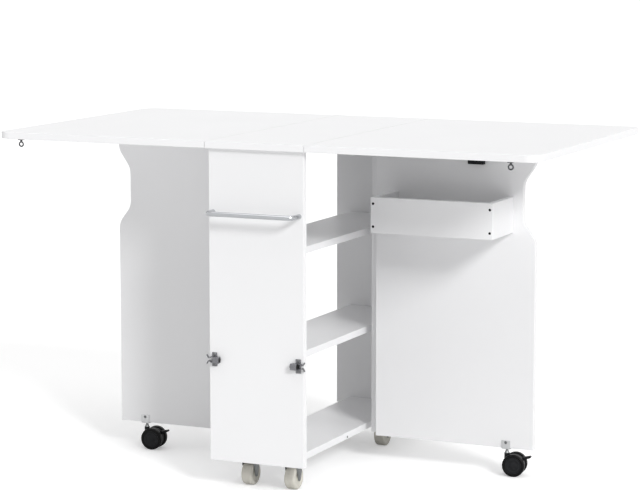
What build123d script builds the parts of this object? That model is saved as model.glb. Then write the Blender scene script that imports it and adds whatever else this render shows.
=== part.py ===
from build123d import *
import math
import os

# Rolling drop-leaf table in millimetres, seen from the front: X runs along the long side to the
# right, Y to the back, Z up. It is drawn about the middle of the top, on the floor, and each file
# is written FRAME_SHIFT further back, so that the origin is under the middle of the whole table
# with its towel bar.

# Tabletop: a fixed centre board and two drop leaves
TABLE_LENGTH = 1250.0
TABLE_DEPTH = 700.0
TABLE_HEIGHT = 750.0
TOP_BOARD = 15.0
TOP_CORNER_R = 30.0
TOP_ARRIS = 1.0
TOP_OVERHANG = 10.0
SEAM_GAP = 1.5
SEAM_CHAMFER = 2.0
TINY = 0.01
PASS = 1.0

# Cabinet: front, rear and two half side panels with three shelves
CABINET_WIDTH = 220.0
CABINET_FLOOR = 65.0
BOARD = 15.0
ARRIS = 0.8
SHELF_RECESS = 33.0
SHELF_TOPS = {"bottom_shelf": 80.0, "middle_shelf": 302.0, "upper_shelf": 525.0}
EDGE_SCREW_Y = -37.0
EDGE_SCREW_Z = 69.5

# Gates: two swinging board legs, pinned at the outer edge of each half side panel
GATE_PIN_Y = 54.25
GATE_FLOOR_GAP = 61.5
GATE_TOP_GAP = 4.5
GATE_END_GAP = 5.0
GATE_HALF_GAP = 1.3
NOTCH_DEPTH = 29.0
NOTCH_LOW_DROPS = (207.5, 170.5)
NOTCH_HIGH_DROPS = (82.5, 40.5)
NOTCH_R = 40.0

# Butt hinges, their countersunk screws and the running fit of their pins
PLATE_T = 1.2
PIN_R = 1.0
PIN_FIT = 0.05
PRESS_FIT = 0.02
KNUCKLE_GAP = 0.3
KNUCKLE_END_GAP = 0.2
GATE_KNUCKLE_R = 2.0
GATE_KNUCKLE_ROOM = 0.05
GATE_HINGE_H = 60.0
GATE_HINGE_INSET = 78.5
GATE_PLATE_W = 14.5
GATE_SCREW_STEP = 9.0
LEAF_HANG_GAP = 5.0
LEAF_PIN_DROP = 0.7
LEAF_KNUCKLE_R = 2.2
LEAF_PLATE_W = 26.0
LEAF_SCREW_X = 15.6
LEAF_HINGE_L = 50.0
LEAF_HINGE_Y = (-250.0, 0.0, 250.0)
REBATE_ROOM = 0.3
SCREW_R = 1.5
SCREW_HEAD_R = 2.9
SCREW_HEAD_H = 1.2
SCREW_L = 12.0
SCREW_FIT = 0.04
PAN_HEAD_R = 3.4
PAN_HEAD_H = 1.8
PAN_HEAD_TAPER = 0.65

# Dowels that join the cabinet's boards
DOWEL_R = 4.0
DOWEL_SHORT = 10.0
DOWEL_LONG = 20.0
DOWEL_FIT = 0.05
TOP_DOWEL_X = 60.0
SIDE_DOWEL_FRONT = 65.0
SIDE_DOWEL_REAR = 35.0
PANEL_DOWEL_INSET = 120.0

# Towel bar on the front panel
BAR_R = 5.25
BAR_FOOT_INSET = 10.0
BAR_Z = 600.0
BAR_STAND_OFF = 35.0
BAR_BEND_R = 16.0
BAR_STUD_R = 2.5
BAR_STUD_L = 10.0

# Spring clips on the front panel, and the strikes under the leaves that they catch
CLIP_INSET = 12.0
CLIP_BASE_W = 12.0
CLIP_BASE_H = 30.0
CLIP_BASE_T = 1.5
CLIP_HOUSING_INSET = 5.7
CLIP_HOUSING_L = 15.0
CLIP_HOUSING_H = 14.0
CLIP_HOUSING_D = 12.0
CLIP_HOUSING_R = 2.0
CLIP_CORE_R = 5.2
CLIP_CORE_PROUD = 0.3
PRONG_T = 2.2
PRONG_W = 6.0
PRONG_BEND_R = 1.6
PRONG_LINE = ((-8.0, 5.9), (-1.0, 6.2), (2.5, 4.4), (5.2, 2.9), (7.8, 4.6), (10.2, 9.3))
STRIKE_FORWARD = 4.0
STRIKE_END_INSET = 59.7
STRIKE_PLATE = 11.0
STRIKE_PLATE_T = 1.5
STRIKE_DROP = 17.0
STRIKE_RING_R = 6.5
STRIKE_WIRE_R = 1.6
STRIKE_NECK_R = 2.4
STRIKE_SHANK_L = 10.0

# Tray on the right gate's inner face
TRAY_NOTCH_GAP = 22.25
TRAY_LENGTH = 280.0
TRAY_DEPTH = 130.0
TRAY_HEIGHT = 78.0
TRAY_Z = 538.5
TRAY_WALL = 12.0
TRAY_BASE = 6.0
TRAY_BASE_LIFT = 3.0
TRAY_SCREW_INSET = 14.0
TRAY_SCREW_L = 28.0

# Magnetic catch on each gate's inner face and its steel angle under the centre board
CATCH_START = 221.0
CATCH_LENGTH = 36.5
CATCH_DEPTH = 12.0
CATCH_HEIGHT = 43.0
CATCH_DROP = 46.0
CATCH_GAP = 0.4
CATCH_CORNER_R = 1.5
CATCH_SCREW_L = 20.0
CATCH_SCREW_STEP = 13.0
ANGLE_T = 1.5
ANGLE_W = 20.0
ANGLE_LEG = 16.0
ANGLE_FOOT = 22.0
ANGLE_SCREW_X = 13.0

# Nylon glide on each gate's top edge
GLIDE_END_INSET = 24.25
GLIDE_R = 5.0
GLIDE_GAP = 0.5
GLIDE_STEM_R = 2.0
GLIDE_STEM_L = 8.0

# Twin-wheel swivel caster under each gate
CASTER_END_INSET = 62.3
STEM_DEPTH = 12.0
CASTER_YAW = {"right": 7.0, "left": 4.0}
BRACKET_W = 20.0
BRACKET_H = 17.0
BRACKET_T = 2.0
BRACKET_REACH = 14.0
BRACKET_CORNER_R = 4.0
BRACKET_SCREW_Z = 12.6
BRACKET_SCREW_L = 12.0
STEM_R = 3.0
STEM_HEAD_R = 4.5
STEM_HEAD_H = 1.5
STEM_POCKET_ROOM = 0.5
COLLAR_TOP = 50.0
FERRULE_H = 5.0
FERRULE_R = 5.2
FERRULE_TOP_R = 3.3
HOOD_R = 22.5
HOOD_W = 15.0
HOOD_FLOOR = 9.0
HOOD_BOSS_R = 6.0
HOOD_EDGE_R = 1.0
CASTER_TRAIL = 17.5
TWIN_R = 25.0
TWIN_W = 12.5
TWIN_GAP = 0.4
TWIN_EDGE_R = 1.8
TWIN_DISH_R = 18.0
TWIN_DISH = 1.2
AXLE_R = 3.0
AXLE_REACH = 17.5
AXLE_END_ROOM = 0.4
LEVER_W = 9.6
LEVER_PIVOT = (29.0, 37.0)
LEVER_TIP = (52.0, 43.5)
LEVER_ROOT_R = 3.6
LEVER_TIP_R = 2.2
LEVER_SLOT_ROOM = 0.4
LEVER_PIN_R = 1.2
LEVER_PIN_L = 14.0
LEVER_TURN = 12
LEVER_SLOT_STEP = 4

# Fixed casters under the bottom shelf
WHEEL_R = 25.0
WHEEL_W = 25.0
WHEEL_SHOULDER = 4.0
WHEEL_RECESS_R = 17.0
WHEEL_RECESS = 2.0
HUB_R = 7.0
FORK_T = 1.5
FORK_GAP = 0.6
FORK_PLATE_L = 48.0
FORK_LEG_TOP = 34.0
FORK_EYE_R = 7.0
FORK_CROWN_H = 6.0
RIVET_HEAD = 0.6
RIVET_HEAD_R = 4.5
FRONT_CASTER_INSETS = (26.0, 76.0)
REAR_CASTER_INSETS = (17.0, 135.0)
FORK_SCREW_X = 8.0
FORK_SCREW_Y = 18.0

# Places worked out from the sizes above
UNDERSIDE = TABLE_HEIGHT - TOP_BOARD
CABINET_DEPTH = TABLE_DEPTH - 2 * TOP_OVERHANG
SHELF_WIDTH = CABINET_WIDTH - 2 * SHELF_RECESS
CAB_X = CABINET_WIDTH / 2
CAB_Y = CABINET_DEPTH / 2
INNER_Y = CAB_Y - BOARD
LEAF_PIN_X = CAB_X + LEAF_HANG_GAP
LEAF_PIN_Z = UNDERSIDE - LEAF_PIN_DROP
GATE_PIN_X = CAB_X + GATE_KNUCKLE_R + GATE_KNUCKLE_ROOM
GATE_REAR = GATE_PIN_Y - (GATE_PIN_X - CAB_X)
GATE_FRONT = GATE_REAR - BOARD
GATE_START = GATE_PIN_X + GATE_HALF_GAP
GATE_LENGTH = GATE_PIN_Y - GATE_HALF_GAP + INNER_Y - GATE_END_GAP
GATE_END = GATE_START + GATE_LENGTH
GATE_TOP = UNDERSIDE - GATE_TOP_GAP
GATE_HINGE_Z = (GATE_FLOOR_GAP + GATE_HINGE_INSET, (GATE_FLOOR_GAP + GATE_TOP) / 2,
                GATE_TOP - GATE_HINGE_INSET)
SIDE_FRONT = GATE_PIN_Y + GATE_HALF_GAP
BAR_FOOT_X = CAB_X - BAR_FOOT_INSET
CLIP_X = CAB_X - CLIP_INSET
STRIKE_X = TABLE_LENGTH / 2 - STRIKE_END_INSET
STRIKE_Y = -CAB_Y - STRIKE_FORWARD
CLIP_Z = LEAF_PIN_Z - (STRIKE_X - LEAF_PIN_X)
CATCH_Z = GATE_TOP - CATCH_DROP
GATE_MIDDLE_Y = (GATE_FRONT + GATE_REAR) / 2
GLIDE_X = GATE_END - GLIDE_END_INSET
CASTER_X = GATE_END - CASTER_END_INSET
FRONT_CASTERS = (SHELF_WIDTH / 2 - FRONT_CASTER_INSETS[0], FRONT_CASTER_INSETS[1] - CAB_Y)
REAR_CASTERS = (SHELF_WIDTH / 2 - REAR_CASTER_INSETS[0], CAB_Y - REAR_CASTER_INSETS[1])
HALF_TURN = Rot(0, 0, 180)
WHEEL_SIDES = {"front_left": (-1, FRONT_CASTERS), "front_right": (1, FRONT_CASTERS),
               "rear_left": (-1, REAR_CASTERS), "rear_right": (1, REAR_CASTERS)}
BAR_FRONT = CAB_Y + BAR_STAND_OFF + BAR_R
FRAME_SHIFT = (BAR_FRONT - TABLE_DEPTH / 2) / 2


def block(x, y, z):
    """Box between the low and the high value on each axis."""
    middle = Pos((x[0] + x[1]) / 2, (y[0] + y[1]) / 2, (z[0] + z[1]) / 2)
    return middle * Box(abs(x[1] - x[0]), abs(y[1] - y[0]), abs(z[1] - z[0]))


def place(point, outward):
    """Location at a point whose own +Z looks outward."""
    return Plane(origin=point, z_dir=outward).location


def rod(where, radius, length):
    """Cylinder that starts at a location and runs along its +Z."""
    return where * Cylinder(radius, length, align=(Align.CENTER, Align.CENTER, Align.MIN))


def board(x, y, z):
    """Board with softened arrises on all its edges."""
    plain = block(x, y, z)
    return fillet(plain.edges(), ARRIS)


def flush_screw(where, grow=0.0, length=SCREW_L):
    """Countersunk screw, head level with the location's origin, driven along its -Z."""
    head = Pos(0, 0, -SCREW_HEAD_H / 2) * Cone(SCREW_R + grow, SCREW_HEAD_R + grow, SCREW_HEAD_H)
    shank = rod(Pos(0, 0, -length), SCREW_R + grow, length - SCREW_HEAD_H)
    return where * (head + shank)


def pan_screw(where, grow=0.0, length=SCREW_L):
    """Round-headed screw whose head stands on the location's origin."""
    shank = rod(where * Pos(0, 0, -length), SCREW_R + grow, length)
    if grow:
        return shank
    middle = where * Pos(0, 0, PAN_HEAD_H / 2)
    return middle * Cone(PAN_HEAD_R, PAN_HEAD_R * PAN_HEAD_TAPER, PAN_HEAD_H) + shank


def drill(body, cutters):
    """Body with every cutter taken out of it."""
    for cutter in cutters:
        body -= cutter
    return body


def group(solids):
    """One node made of several separate solids."""
    return Compound([solid for shape in solids for solid in shape.solids()])


def save(node, shape):
    """Write one node's solids to its own file, in the table's frame."""
    shape = Pos(0, FRAME_SHIFT, 0) * shape
    shape.label = node
    export_step(shape, f"parts/{node}.step")


# Tabletop

def leaf_screw_places(side):
    """Seats of the plate screws on the plate side of the pin line: -1 fixed, 1 on the leaf."""
    x = LEAF_PIN_X + side * LEAF_SCREW_X
    return [place((x, y + step, UNDERSIDE - PLATE_T), (0, 0, -1))
            for y in LEAF_HINGE_Y for step in (-LEAF_HINGE_L / 4, LEAF_HINGE_L / 4)]


def angle_screw_places():
    """Seats of the two screws in the right-hand catch angle's foot."""
    x = catch_face_x() - ANGLE_SCREW_X
    return [place((x, catch_middle_y() + step, UNDERSIDE - ANGLE_T), (0, 0, -1))
            for step in (-ANGLE_W / 4, ANGLE_W / 4)]


def centre_top():
    """Fixed middle board, chamfered under both seams."""
    edge = LEAF_PIN_X - SEAM_GAP / 2
    plain = block((-edge, edge), (-TABLE_DEPTH / 2, TABLE_DEPTH / 2), (UNDERSIDE, TABLE_HEIGHT))
    plain = chamfer(plain.edges().filter_by(Axis.Y).group_by(Axis.Z)[0], SEAM_CHAMFER)
    plain = fillet(plain.edges().filter_by(Axis.X), TOP_ARRIS)
    cutters = [flush_screw(p, SCREW_FIT) for p in leaf_screw_places(-1)]
    cutters += [pan_screw(p, SCREW_FIT) for p in angle_screw_places()]
    cutters += [HALF_TURN * c for c in cutters]
    return drill(plain, cutters + top_dowels(DOWEL_FIT))


def right_leaf_board():
    """Drop leaf with rounded outer corners, a soft rim and a chamfer under the seam."""
    inner = LEAF_PIN_X + SEAM_GAP / 2
    outer = TABLE_LENGTH / 2
    plain = block((inner, outer), (-TABLE_DEPTH / 2, TABLE_DEPTH / 2), (UNDERSIDE, TABLE_HEIGHT))
    corners = plain.edges().filter_by(Axis.Z).group_by(Axis.X)[-1]
    plain = fillet(corners, TOP_CORNER_R)
    seam = plain.edges().filter_by(Axis.Y).group_by(Axis.X)[0].sort_by(Axis.Z)[0]
    plain = chamfer(seam, SEAM_CHAMFER)
    rims = plain.faces().filter_by(Axis.Z).edges()
    plain = fillet([e for e in rims if e.center().X > inner + SEAM_CHAMFER + TINY], TOP_ARRIS)
    cutters = [flush_screw(p, SCREW_FIT) for p in leaf_screw_places(1)]
    cutters.append(strike_shank(SCREW_FIT))
    return drill(plain, cutters)


# Cabinet boards

def top_dowels(grow=0.0):
    """Upright dowels between the boards of the cabinet and the centre board."""
    end_y = CAB_Y - BOARD / 2
    side_x = CAB_X - BOARD / 2
    spots = [(x, y) for x in (-TOP_DOWEL_X, TOP_DOWEL_X) for y in (-end_y, end_y)]
    for y in (SIDE_FRONT + SIDE_DOWEL_FRONT, INNER_Y - SIDE_DOWEL_REAR):
        spots += [(side_x, y), (-side_x, -y)]
    length = DOWEL_LONG + DOWEL_SHORT + 2 * grow
    return [rod(Pos(x, y, UNDERSIDE - DOWEL_LONG - grow), DOWEL_R + grow, length) for x, y in spots]


def end_dowels(grow=0.0):
    """Level dowels from the front and rear panels into the shelves and the half side panels."""
    spots = []
    for top in SHELF_TOPS.values():
        spots += [(x, top - BOARD / 2, side)
                  for x in (-SHELF_WIDTH / 3, SHELF_WIDTH / 3) for side in (-1, 1)]
    side_x = CAB_X - BOARD / 2
    for z in (CABINET_FLOOR + PANEL_DOWEL_INSET, TABLE_HEIGHT / 2, UNDERSIDE - PANEL_DOWEL_INSET):
        spots += [(side_x, z, 1), (-side_x, z, -1)]
    length = DOWEL_LONG + DOWEL_SHORT + 2 * grow
    inner = INNER_Y - DOWEL_LONG - grow
    return [rod(place((x, side * inner, z), (0, side, 0)), DOWEL_R + grow, length)
            for x, z, side in spots]


def end_panel(side):
    """Full-width front (-1) or rear (1) panel."""
    y = sorted((side * INNER_Y, side * CAB_Y))
    plain = board((-CAB_X, CAB_X), y, (CABINET_FLOOR, UNDERSIDE))
    cutters = top_dowels(DOWEL_FIT) + end_dowels(DOWEL_FIT)
    if side < 0:
        cutters += bar_studs(DOWEL_FIT)
        cutters += [pan_screw(p, SCREW_FIT) for p in clip_screw_places()]
    return drill(plain, cutters)


def right_side_board():
    """Half side panel behind the right gate, rebated on top for the rear leaf hinge."""
    plain = board((CAB_X - BOARD, CAB_X), (SIDE_FRONT, INNER_Y), (CABINET_FLOOR, UNDERSIDE))
    cutters = [flush_screw(p, SCREW_FIT) for p in gate_plate_screws_fixed()]
    rear_hinge = max(LEAF_HINGE_Y)
    half = LEAF_HINGE_L / 2 + REBATE_ROOM
    cutters.append(block((CAB_X - BOARD - PASS, CAB_X + PASS), (rear_hinge - half, rear_hinge + half),
                         (UNDERSIDE - PLATE_T - REBATE_ROOM, UNDERSIDE + PASS)))
    return plain, cutters


def side_panel(side):
    """Half side panel: right (1) at the rear, left (-1) at the front, half a turn apart."""
    plain, cutters = right_side_board()
    body = drill(plain, cutters)
    if side < 0:
        body = HALF_TURN * body
    return drill(body, top_dowels(DOWEL_FIT) + end_dowels(DOWEL_FIT))


def edge_screw_place():
    """Seat of the screw in the bottom shelf's right edge."""
    return place((SHELF_WIDTH / 2, EDGE_SCREW_Y, EDGE_SCREW_Z), (1, 0, 0))


def shelf(top):
    """Shelf between the front and rear panels, clear of what the closed gates carry inside."""
    half = SHELF_WIDTH / 2
    plain = board((-half, half), (-INNER_Y, INNER_Y), (top - BOARD, top))
    cutters = end_dowels(DOWEL_FIT)
    if top == SHELF_TOPS["bottom_shelf"]:
        cutters += [pan_screw(p, SCREW_FIT) for p in fork_screw_places()]
        cutters.append(flush_screw(edge_screw_place(), SCREW_FIT))
    return drill(plain, cutters)


# Gates, drawn open on the right and turned half round for the left

def gate_outline(thickness):
    """Right gate's outline with the hand notch in its free edge, as a board of one thickness."""
    deep = GATE_LENGTH - NOTCH_DEPTH
    heights = [GATE_TOP - drop for drop in NOTCH_LOW_DROPS + NOTCH_HIGH_DROPS]
    points = [(0, GATE_FLOOR_GAP), (GATE_LENGTH, GATE_FLOOR_GAP), (GATE_LENGTH, heights[0]),
              (deep, heights[1]), (deep, heights[2]), (GATE_LENGTH, heights[3]),
              (GATE_LENGTH, GATE_TOP), (0, GATE_TOP)]
    face = make_face(Polyline(*points, close=True))
    bends = [v for v in face.vertices() if any(abs(v.Y - z) < TINY for z in heights)]
    face = fillet(bends, NOTCH_R)
    front = Plane(origin=(GATE_START, GATE_REAR, 0), x_dir=(1, 0, 0), z_dir=(0, -1, 0))
    return extrude(front * face, thickness)


def gate_board(side):
    """Gate with its softened edges and the holes for what is screwed to it."""
    plain = gate_outline(BOARD)
    plain = fillet(plain.edges(), ARRIS)
    cutters = [flush_screw(p, SCREW_FIT) for p in gate_plate_screws_moving()]
    cutters += [flush_screw(p, SCREW_FIT, CATCH_SCREW_L) for p in catch_screw_places()]
    cutters.append(gate_glide(DOWEL_FIT))
    if side > 0:
        cutters += [flush_screw(p, SCREW_FIT, TRAY_SCREW_L) for p in tray_back_screws()]
    body = drill(plain, cutters)
    if side < 0:
        body = HALF_TURN * body
    return drill(body, [pan_screw(bracket_screw_place(side), SCREW_FIT, BRACKET_SCREW_L),
                        stem_pocket(side)])


# Butt hinges on the outer faces of gates and half side panels

def gate_plate_screws_fixed():
    """Screw seats on the fixed plates, on the half side panel's outer face."""
    y = GATE_PIN_Y + GATE_SCREW_STEP
    return [place((CAB_X + PLATE_T, y, z + step), (1, 0, 0))
            for z in GATE_HINGE_Z for step in (-GATE_HINGE_H / 3, GATE_HINGE_H / 3)]


def gate_plate_screws_moving():
    """Screw seats on the moving plates, on the gate's outer face."""
    x = GATE_PIN_X + GATE_SCREW_STEP
    return [place((x, GATE_REAR + PLATE_T, z + step), (0, 1, 0))
            for z in GATE_HINGE_Z for step in (-GATE_HINGE_H / 3, GATE_HINGE_H / 3)]


def knuckles(axis_place, pitch, radius, own, length_trim):
    """Knuckles of one hinge half along the pin line, third by third."""
    return [rod(axis_place * Pos(0, 0, (step - 0.5) * pitch + length_trim), radius, pitch - 2 * length_trim)
            for step in own]


def hinge_half(plate, axis_place, pitch, radius, fixed, seats):
    """Plate with its knuckles, its bore and its screw holes, clear of the other half's knuckles."""
    own, other = ((-1, 1), (0,)) if fixed else ((0,), (-1, 1))
    trim = 0.0 if fixed else KNUCKLE_END_GAP
    plate = drill(plate, knuckles(axis_place, pitch, radius + KNUCKLE_GAP, other, -KNUCKLE_END_GAP))
    for knuckle in knuckles(axis_place, pitch, radius, own, trim):
        plate += knuckle
    bore = PIN_R + (PRESS_FIT if fixed else PIN_FIT)
    plate -= rod(axis_place * Pos(0, 0, -1.5 * pitch), bore, 3 * pitch)
    return drill(plate, [flush_screw(p, SCREW_FIT) for p in seats])


def gate_hinge_side(z, fixed):
    """Half of a gate hinge: fixed on the half side panel's outer face, moving on the gate's."""
    tall = (z - GATE_HINGE_H / 2, z + GATE_HINGE_H / 2)
    if fixed:
        plate = block((CAB_X, CAB_X + PLATE_T), (GATE_PIN_Y, GATE_PIN_Y + GATE_PLATE_W), tall)
        seats = gate_plate_screws_fixed()
    else:
        plate = block((GATE_PIN_X, GATE_PIN_X + GATE_PLATE_W), (GATE_REAR, GATE_REAR + PLATE_T), tall)
        seats = gate_plate_screws_moving()
    seats = [p for p in seats if abs(p.position.Z - z) < GATE_HINGE_H / 2]
    pin_line = Pos(GATE_PIN_X, GATE_PIN_Y, z)
    return hinge_half(plate, pin_line, GATE_HINGE_H / 3, GATE_KNUCKLE_R, fixed, seats)


def leaf_hinge_side(y, fixed):
    """Half of a leaf hinge on the underside: fixed on the centre board, moving on the leaf."""
    side = -1 if fixed else 1
    x = sorted((LEAF_PIN_X + side * SEAM_GAP / 2, LEAF_PIN_X + side * LEAF_PLATE_W))
    plate = block(x, (y - LEAF_HINGE_L / 2, y + LEAF_HINGE_L / 2), (UNDERSIDE - PLATE_T, UNDERSIDE))
    seats = [p for p in leaf_screw_places(side) if abs(p.position.Y - y) < LEAF_HINGE_L / 2]
    pin_line = place((LEAF_PIN_X, y, LEAF_PIN_Z), (0, 1, 0))
    return hinge_half(plate, pin_line, LEAF_HINGE_L / 3, LEAF_KNUCKLE_R, fixed, seats)


def hinge_pins():
    """Pins of every leaf and gate hinge, held in the fixed knuckles."""
    right = [rod(place((LEAF_PIN_X, y - LEAF_HINGE_L / 2, LEAF_PIN_Z), (0, 1, 0)), PIN_R, LEAF_HINGE_L)
             for y in LEAF_HINGE_Y]
    right += [rod(Pos(GATE_PIN_X, GATE_PIN_Y, z - GATE_HINGE_H / 2), PIN_R, GATE_HINGE_H)
              for z in GATE_HINGE_Z]
    return right + [HALF_TURN * pin for pin in right]


# Towel bar, clips and strikes

def bar_studs(grow=0.0):
    """Threaded studs of the towel bar in the front panel."""
    return [rod(place((x, -CAB_Y, BAR_Z), (0, 1, 0)), BAR_STUD_R + grow, BAR_STUD_L + grow)
            for x in (-BAR_FOOT_X, BAR_FOOT_X)]


def towel_bar():
    """Round bar that bends back to the front panel at both ends."""
    front = -CAB_Y - BAR_STAND_OFF
    path = FilletPolyline((-BAR_FOOT_X, -CAB_Y, BAR_Z), (-BAR_FOOT_X, front, BAR_Z),
                          (BAR_FOOT_X, front, BAR_Z), (BAR_FOOT_X, -CAB_Y, BAR_Z), radius=BAR_BEND_R)
    section = place((-BAR_FOOT_X, -CAB_Y, BAR_Z), (0, -1, 0)) * Circle(BAR_R)
    body = sweep(section, path)
    for stud in bar_studs():
        body += stud
    return body


def clip_screw_places():
    """Seats of the two screws above and below each clip's housing."""
    lift = (CLIP_BASE_H + CLIP_HOUSING_H) / 4
    return [place((side * CLIP_X, -CAB_Y - CLIP_BASE_T, CLIP_Z + step), (0, -1, 0))
            for side in (-1, 1) for step in (-lift, lift)]


def prong(up):
    """Spring arm that closes to a throat and flares open at its tip; up is 1 or -1."""
    reach = CLIP_X + CLIP_BASE_W / 2
    points = [(reach + along, up * rise) for along, rise in PRONG_LINE]
    face = trace(FilletPolyline(*points, radius=PRONG_BEND_R), PRONG_T)
    front = Plane(origin=(0, -CAB_Y - CLIP_BASE_T, CLIP_Z), x_dir=(1, 0, 0), z_dir=(0, -1, 0))
    return extrude(front * face, PRONG_W)


def clip_housing_end():
    """X of the right clip housing's outer end."""
    return CLIP_X + CLIP_BASE_W / 2 - CLIP_HOUSING_INSET


def clip_housing_core(grow=0.0):
    """Rubber core that runs along the clip's housing and shows at both its ends."""
    start = clip_housing_end() - CLIP_HOUSING_L - CLIP_CORE_PROUD
    y = -CAB_Y - CLIP_BASE_T - CLIP_HOUSING_D / 2
    length = CLIP_HOUSING_L + 2 * CLIP_CORE_PROUD
    return rod(place((start, y, CLIP_Z), (1, 0, 0)), CLIP_CORE_R + grow, length)


def right_clip():
    """Spring clip: base plate, box housing and two flared prongs in one bent steel piece."""
    end = CLIP_X + CLIP_BASE_W / 2
    base = block((end - CLIP_BASE_W, end), (-CAB_Y - CLIP_BASE_T, -CAB_Y),
                 (CLIP_Z - CLIP_BASE_H / 2, CLIP_Z + CLIP_BASE_H / 2))
    face = -CAB_Y - CLIP_BASE_T
    housing_end = clip_housing_end()
    housing = block((housing_end - CLIP_HOUSING_L, housing_end), (face - CLIP_HOUSING_D, face),
                    (CLIP_Z - CLIP_HOUSING_H / 2, CLIP_Z + CLIP_HOUSING_H / 2))
    housing = fillet(housing.edges().filter_by(Axis.X).group_by(Axis.Y)[0], CLIP_HOUSING_R)
    body = base + housing + prong(1) + prong(-1)
    here = [p for p in clip_screw_places() if p.position.X > 0]
    return drill(body, [pan_screw(p, SCREW_FIT) for p in here] + [clip_housing_core(DOWEL_FIT)])


def strike_shank(grow=0.0):
    """Threaded shank of the strike in the leaf."""
    return rod(Pos(STRIKE_X, STRIKE_Y, UNDERSIDE), SCREW_R + grow, STRIKE_SHANK_L + grow)


def right_strike():
    """Screw eye under the leaf: small plate, neck and ring, caught by the clip when the leaf hangs."""
    half = STRIKE_PLATE / 2
    plate = block((STRIKE_X - half, STRIKE_X + half), (STRIKE_Y - half, STRIKE_Y + half),
                  (UNDERSIDE - STRIKE_PLATE_T, UNDERSIDE))
    middle = UNDERSIDE - STRIKE_DROP + STRIKE_RING_R
    neck_foot = middle + STRIKE_RING_R - 2 * STRIKE_WIRE_R
    neck_length = UNDERSIDE - neck_foot - STRIKE_PLATE_T / 2
    neck = rod(Pos(STRIKE_X, STRIKE_Y, neck_foot), STRIKE_NECK_R, neck_length)
    wire_line_r = STRIKE_RING_R - STRIKE_WIRE_R
    ring = place((STRIKE_X, STRIKE_Y, middle), (0, 1, 0)) * Torus(wire_line_r, STRIKE_WIRE_R)
    return plate + neck + ring + strike_shank()


# Catches, glides and tray on the gates

def catch_middle_y():
    """Middle of the right gate's catch along Y once that gate is closed."""
    return GATE_PIN_Y - (CATCH_START + CATCH_LENGTH / 2)


def catch_face_x():
    """X of the right-hand angle's upright face, just inside the closed gate's catch."""
    return GATE_PIN_X - (GATE_PIN_Y - GATE_FRONT) - CATCH_DEPTH - CATCH_GAP


def catch_screw_places():
    """Seats of the two screws in the right gate's catch."""
    middle = GATE_PIN_X + CATCH_START + CATCH_LENGTH / 2
    return [place((middle + step, GATE_FRONT - CATCH_DEPTH, CATCH_Z + CATCH_HEIGHT / 2), (0, -1, 0))
            for step in (-CATCH_SCREW_STEP, CATCH_SCREW_STEP)]


def gate_catch():
    """Magnetic catch block on the gate's inner face."""
    start = GATE_PIN_X + CATCH_START
    body = block((start, start + CATCH_LENGTH), (GATE_FRONT - CATCH_DEPTH, GATE_FRONT),
                 (CATCH_Z, CATCH_Z + CATCH_HEIGHT))
    body = fillet(body.edges().filter_by(Axis.Y), CATCH_CORNER_R)
    return drill(body, [flush_screw(p, SCREW_FIT, CATCH_SCREW_L) for p in catch_screw_places()])


def catch_angle():
    """Steel angle under the centre board that the closed gate's catch pulls against."""
    face = catch_face_x()
    y = (catch_middle_y() - ANGLE_W / 2, catch_middle_y() + ANGLE_W / 2)
    leg = block((face - ANGLE_T, face), y, (UNDERSIDE - ANGLE_LEG, UNDERSIDE))
    foot = block((face - ANGLE_FOOT, face), y, (UNDERSIDE - ANGLE_T, UNDERSIDE))
    return drill(leg + foot, [pan_screw(p, SCREW_FIT) for p in angle_screw_places()])


def gate_glide(grow=0.0):
    """Nylon stud in the gate's top edge that the leaf rests on."""
    stem = rod(Pos(GLIDE_X, GATE_MIDDLE_Y, GATE_TOP - GLIDE_STEM_L), GLIDE_STEM_R + grow, GLIDE_STEM_L)
    if grow:
        return stem
    return stem + rod(Pos(GLIDE_X, GATE_MIDDLE_Y, GATE_TOP), GLIDE_R, GATE_TOP_GAP - GLIDE_GAP)


def tray_span():
    """Low and high X of the tray on the open right gate."""
    end = GATE_END - NOTCH_DEPTH - TRAY_NOTCH_GAP
    return end - TRAY_LENGTH, end


def tray_front_screws():
    """Seats of the four screws through the tray's front into its ends."""
    low, high = tray_span()
    return [place((x, GATE_FRONT - TRAY_DEPTH, z), (0, -1, 0))
            for x in (low + TRAY_WALL / 2, high - TRAY_WALL / 2)
            for z in (TRAY_Z + TRAY_SCREW_INSET, TRAY_Z + TRAY_HEIGHT - TRAY_SCREW_INSET)]


def tray_back_screws():
    """Seats of the four screws through the gate into the tray's ends."""
    low, high = tray_span()
    return [place((x, GATE_REAR, z), (0, 1, 0))
            for x in (low + TRAY_WALL / 2, high - TRAY_WALL / 2)
            for z in (TRAY_Z + TRAY_SCREW_INSET, TRAY_Z + TRAY_HEIGHT - TRAY_SCREW_INSET)]


def tray_cutters():
    """Holes of all the tray's screws."""
    return [flush_screw(p, SCREW_FIT, TRAY_SCREW_L) for p in tray_front_screws() + tray_back_screws()]


def tray_front():
    """Tray's front board across both ends."""
    front = GATE_FRONT - TRAY_DEPTH
    plain = board(tray_span(), (front, front + TRAY_WALL), (TRAY_Z, TRAY_Z + TRAY_HEIGHT))
    return drill(plain, tray_cutters())


def tray_ends():
    """Tray's two end boards between its front and the gate."""
    low, high = tray_span()
    y = (GATE_FRONT - TRAY_DEPTH + TRAY_WALL, GATE_FRONT)
    z = (TRAY_Z, TRAY_Z + TRAY_HEIGHT)
    ends = [board(x, y, z) for x in ((low, low + TRAY_WALL), (high - TRAY_WALL, high))]
    return group([drill(end, tray_cutters()) for end in ends])


def tray_base():
    """Tray's floor between its walls."""
    low, high = tray_span()
    return block((low + TRAY_WALL, high - TRAY_WALL), (GATE_FRONT - TRAY_DEPTH + TRAY_WALL, GATE_FRONT),
                 (TRAY_Z + TRAY_BASE_LIFT, TRAY_Z + TRAY_BASE_LIFT + TRAY_BASE))


# Swivel casters under the gates

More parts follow.
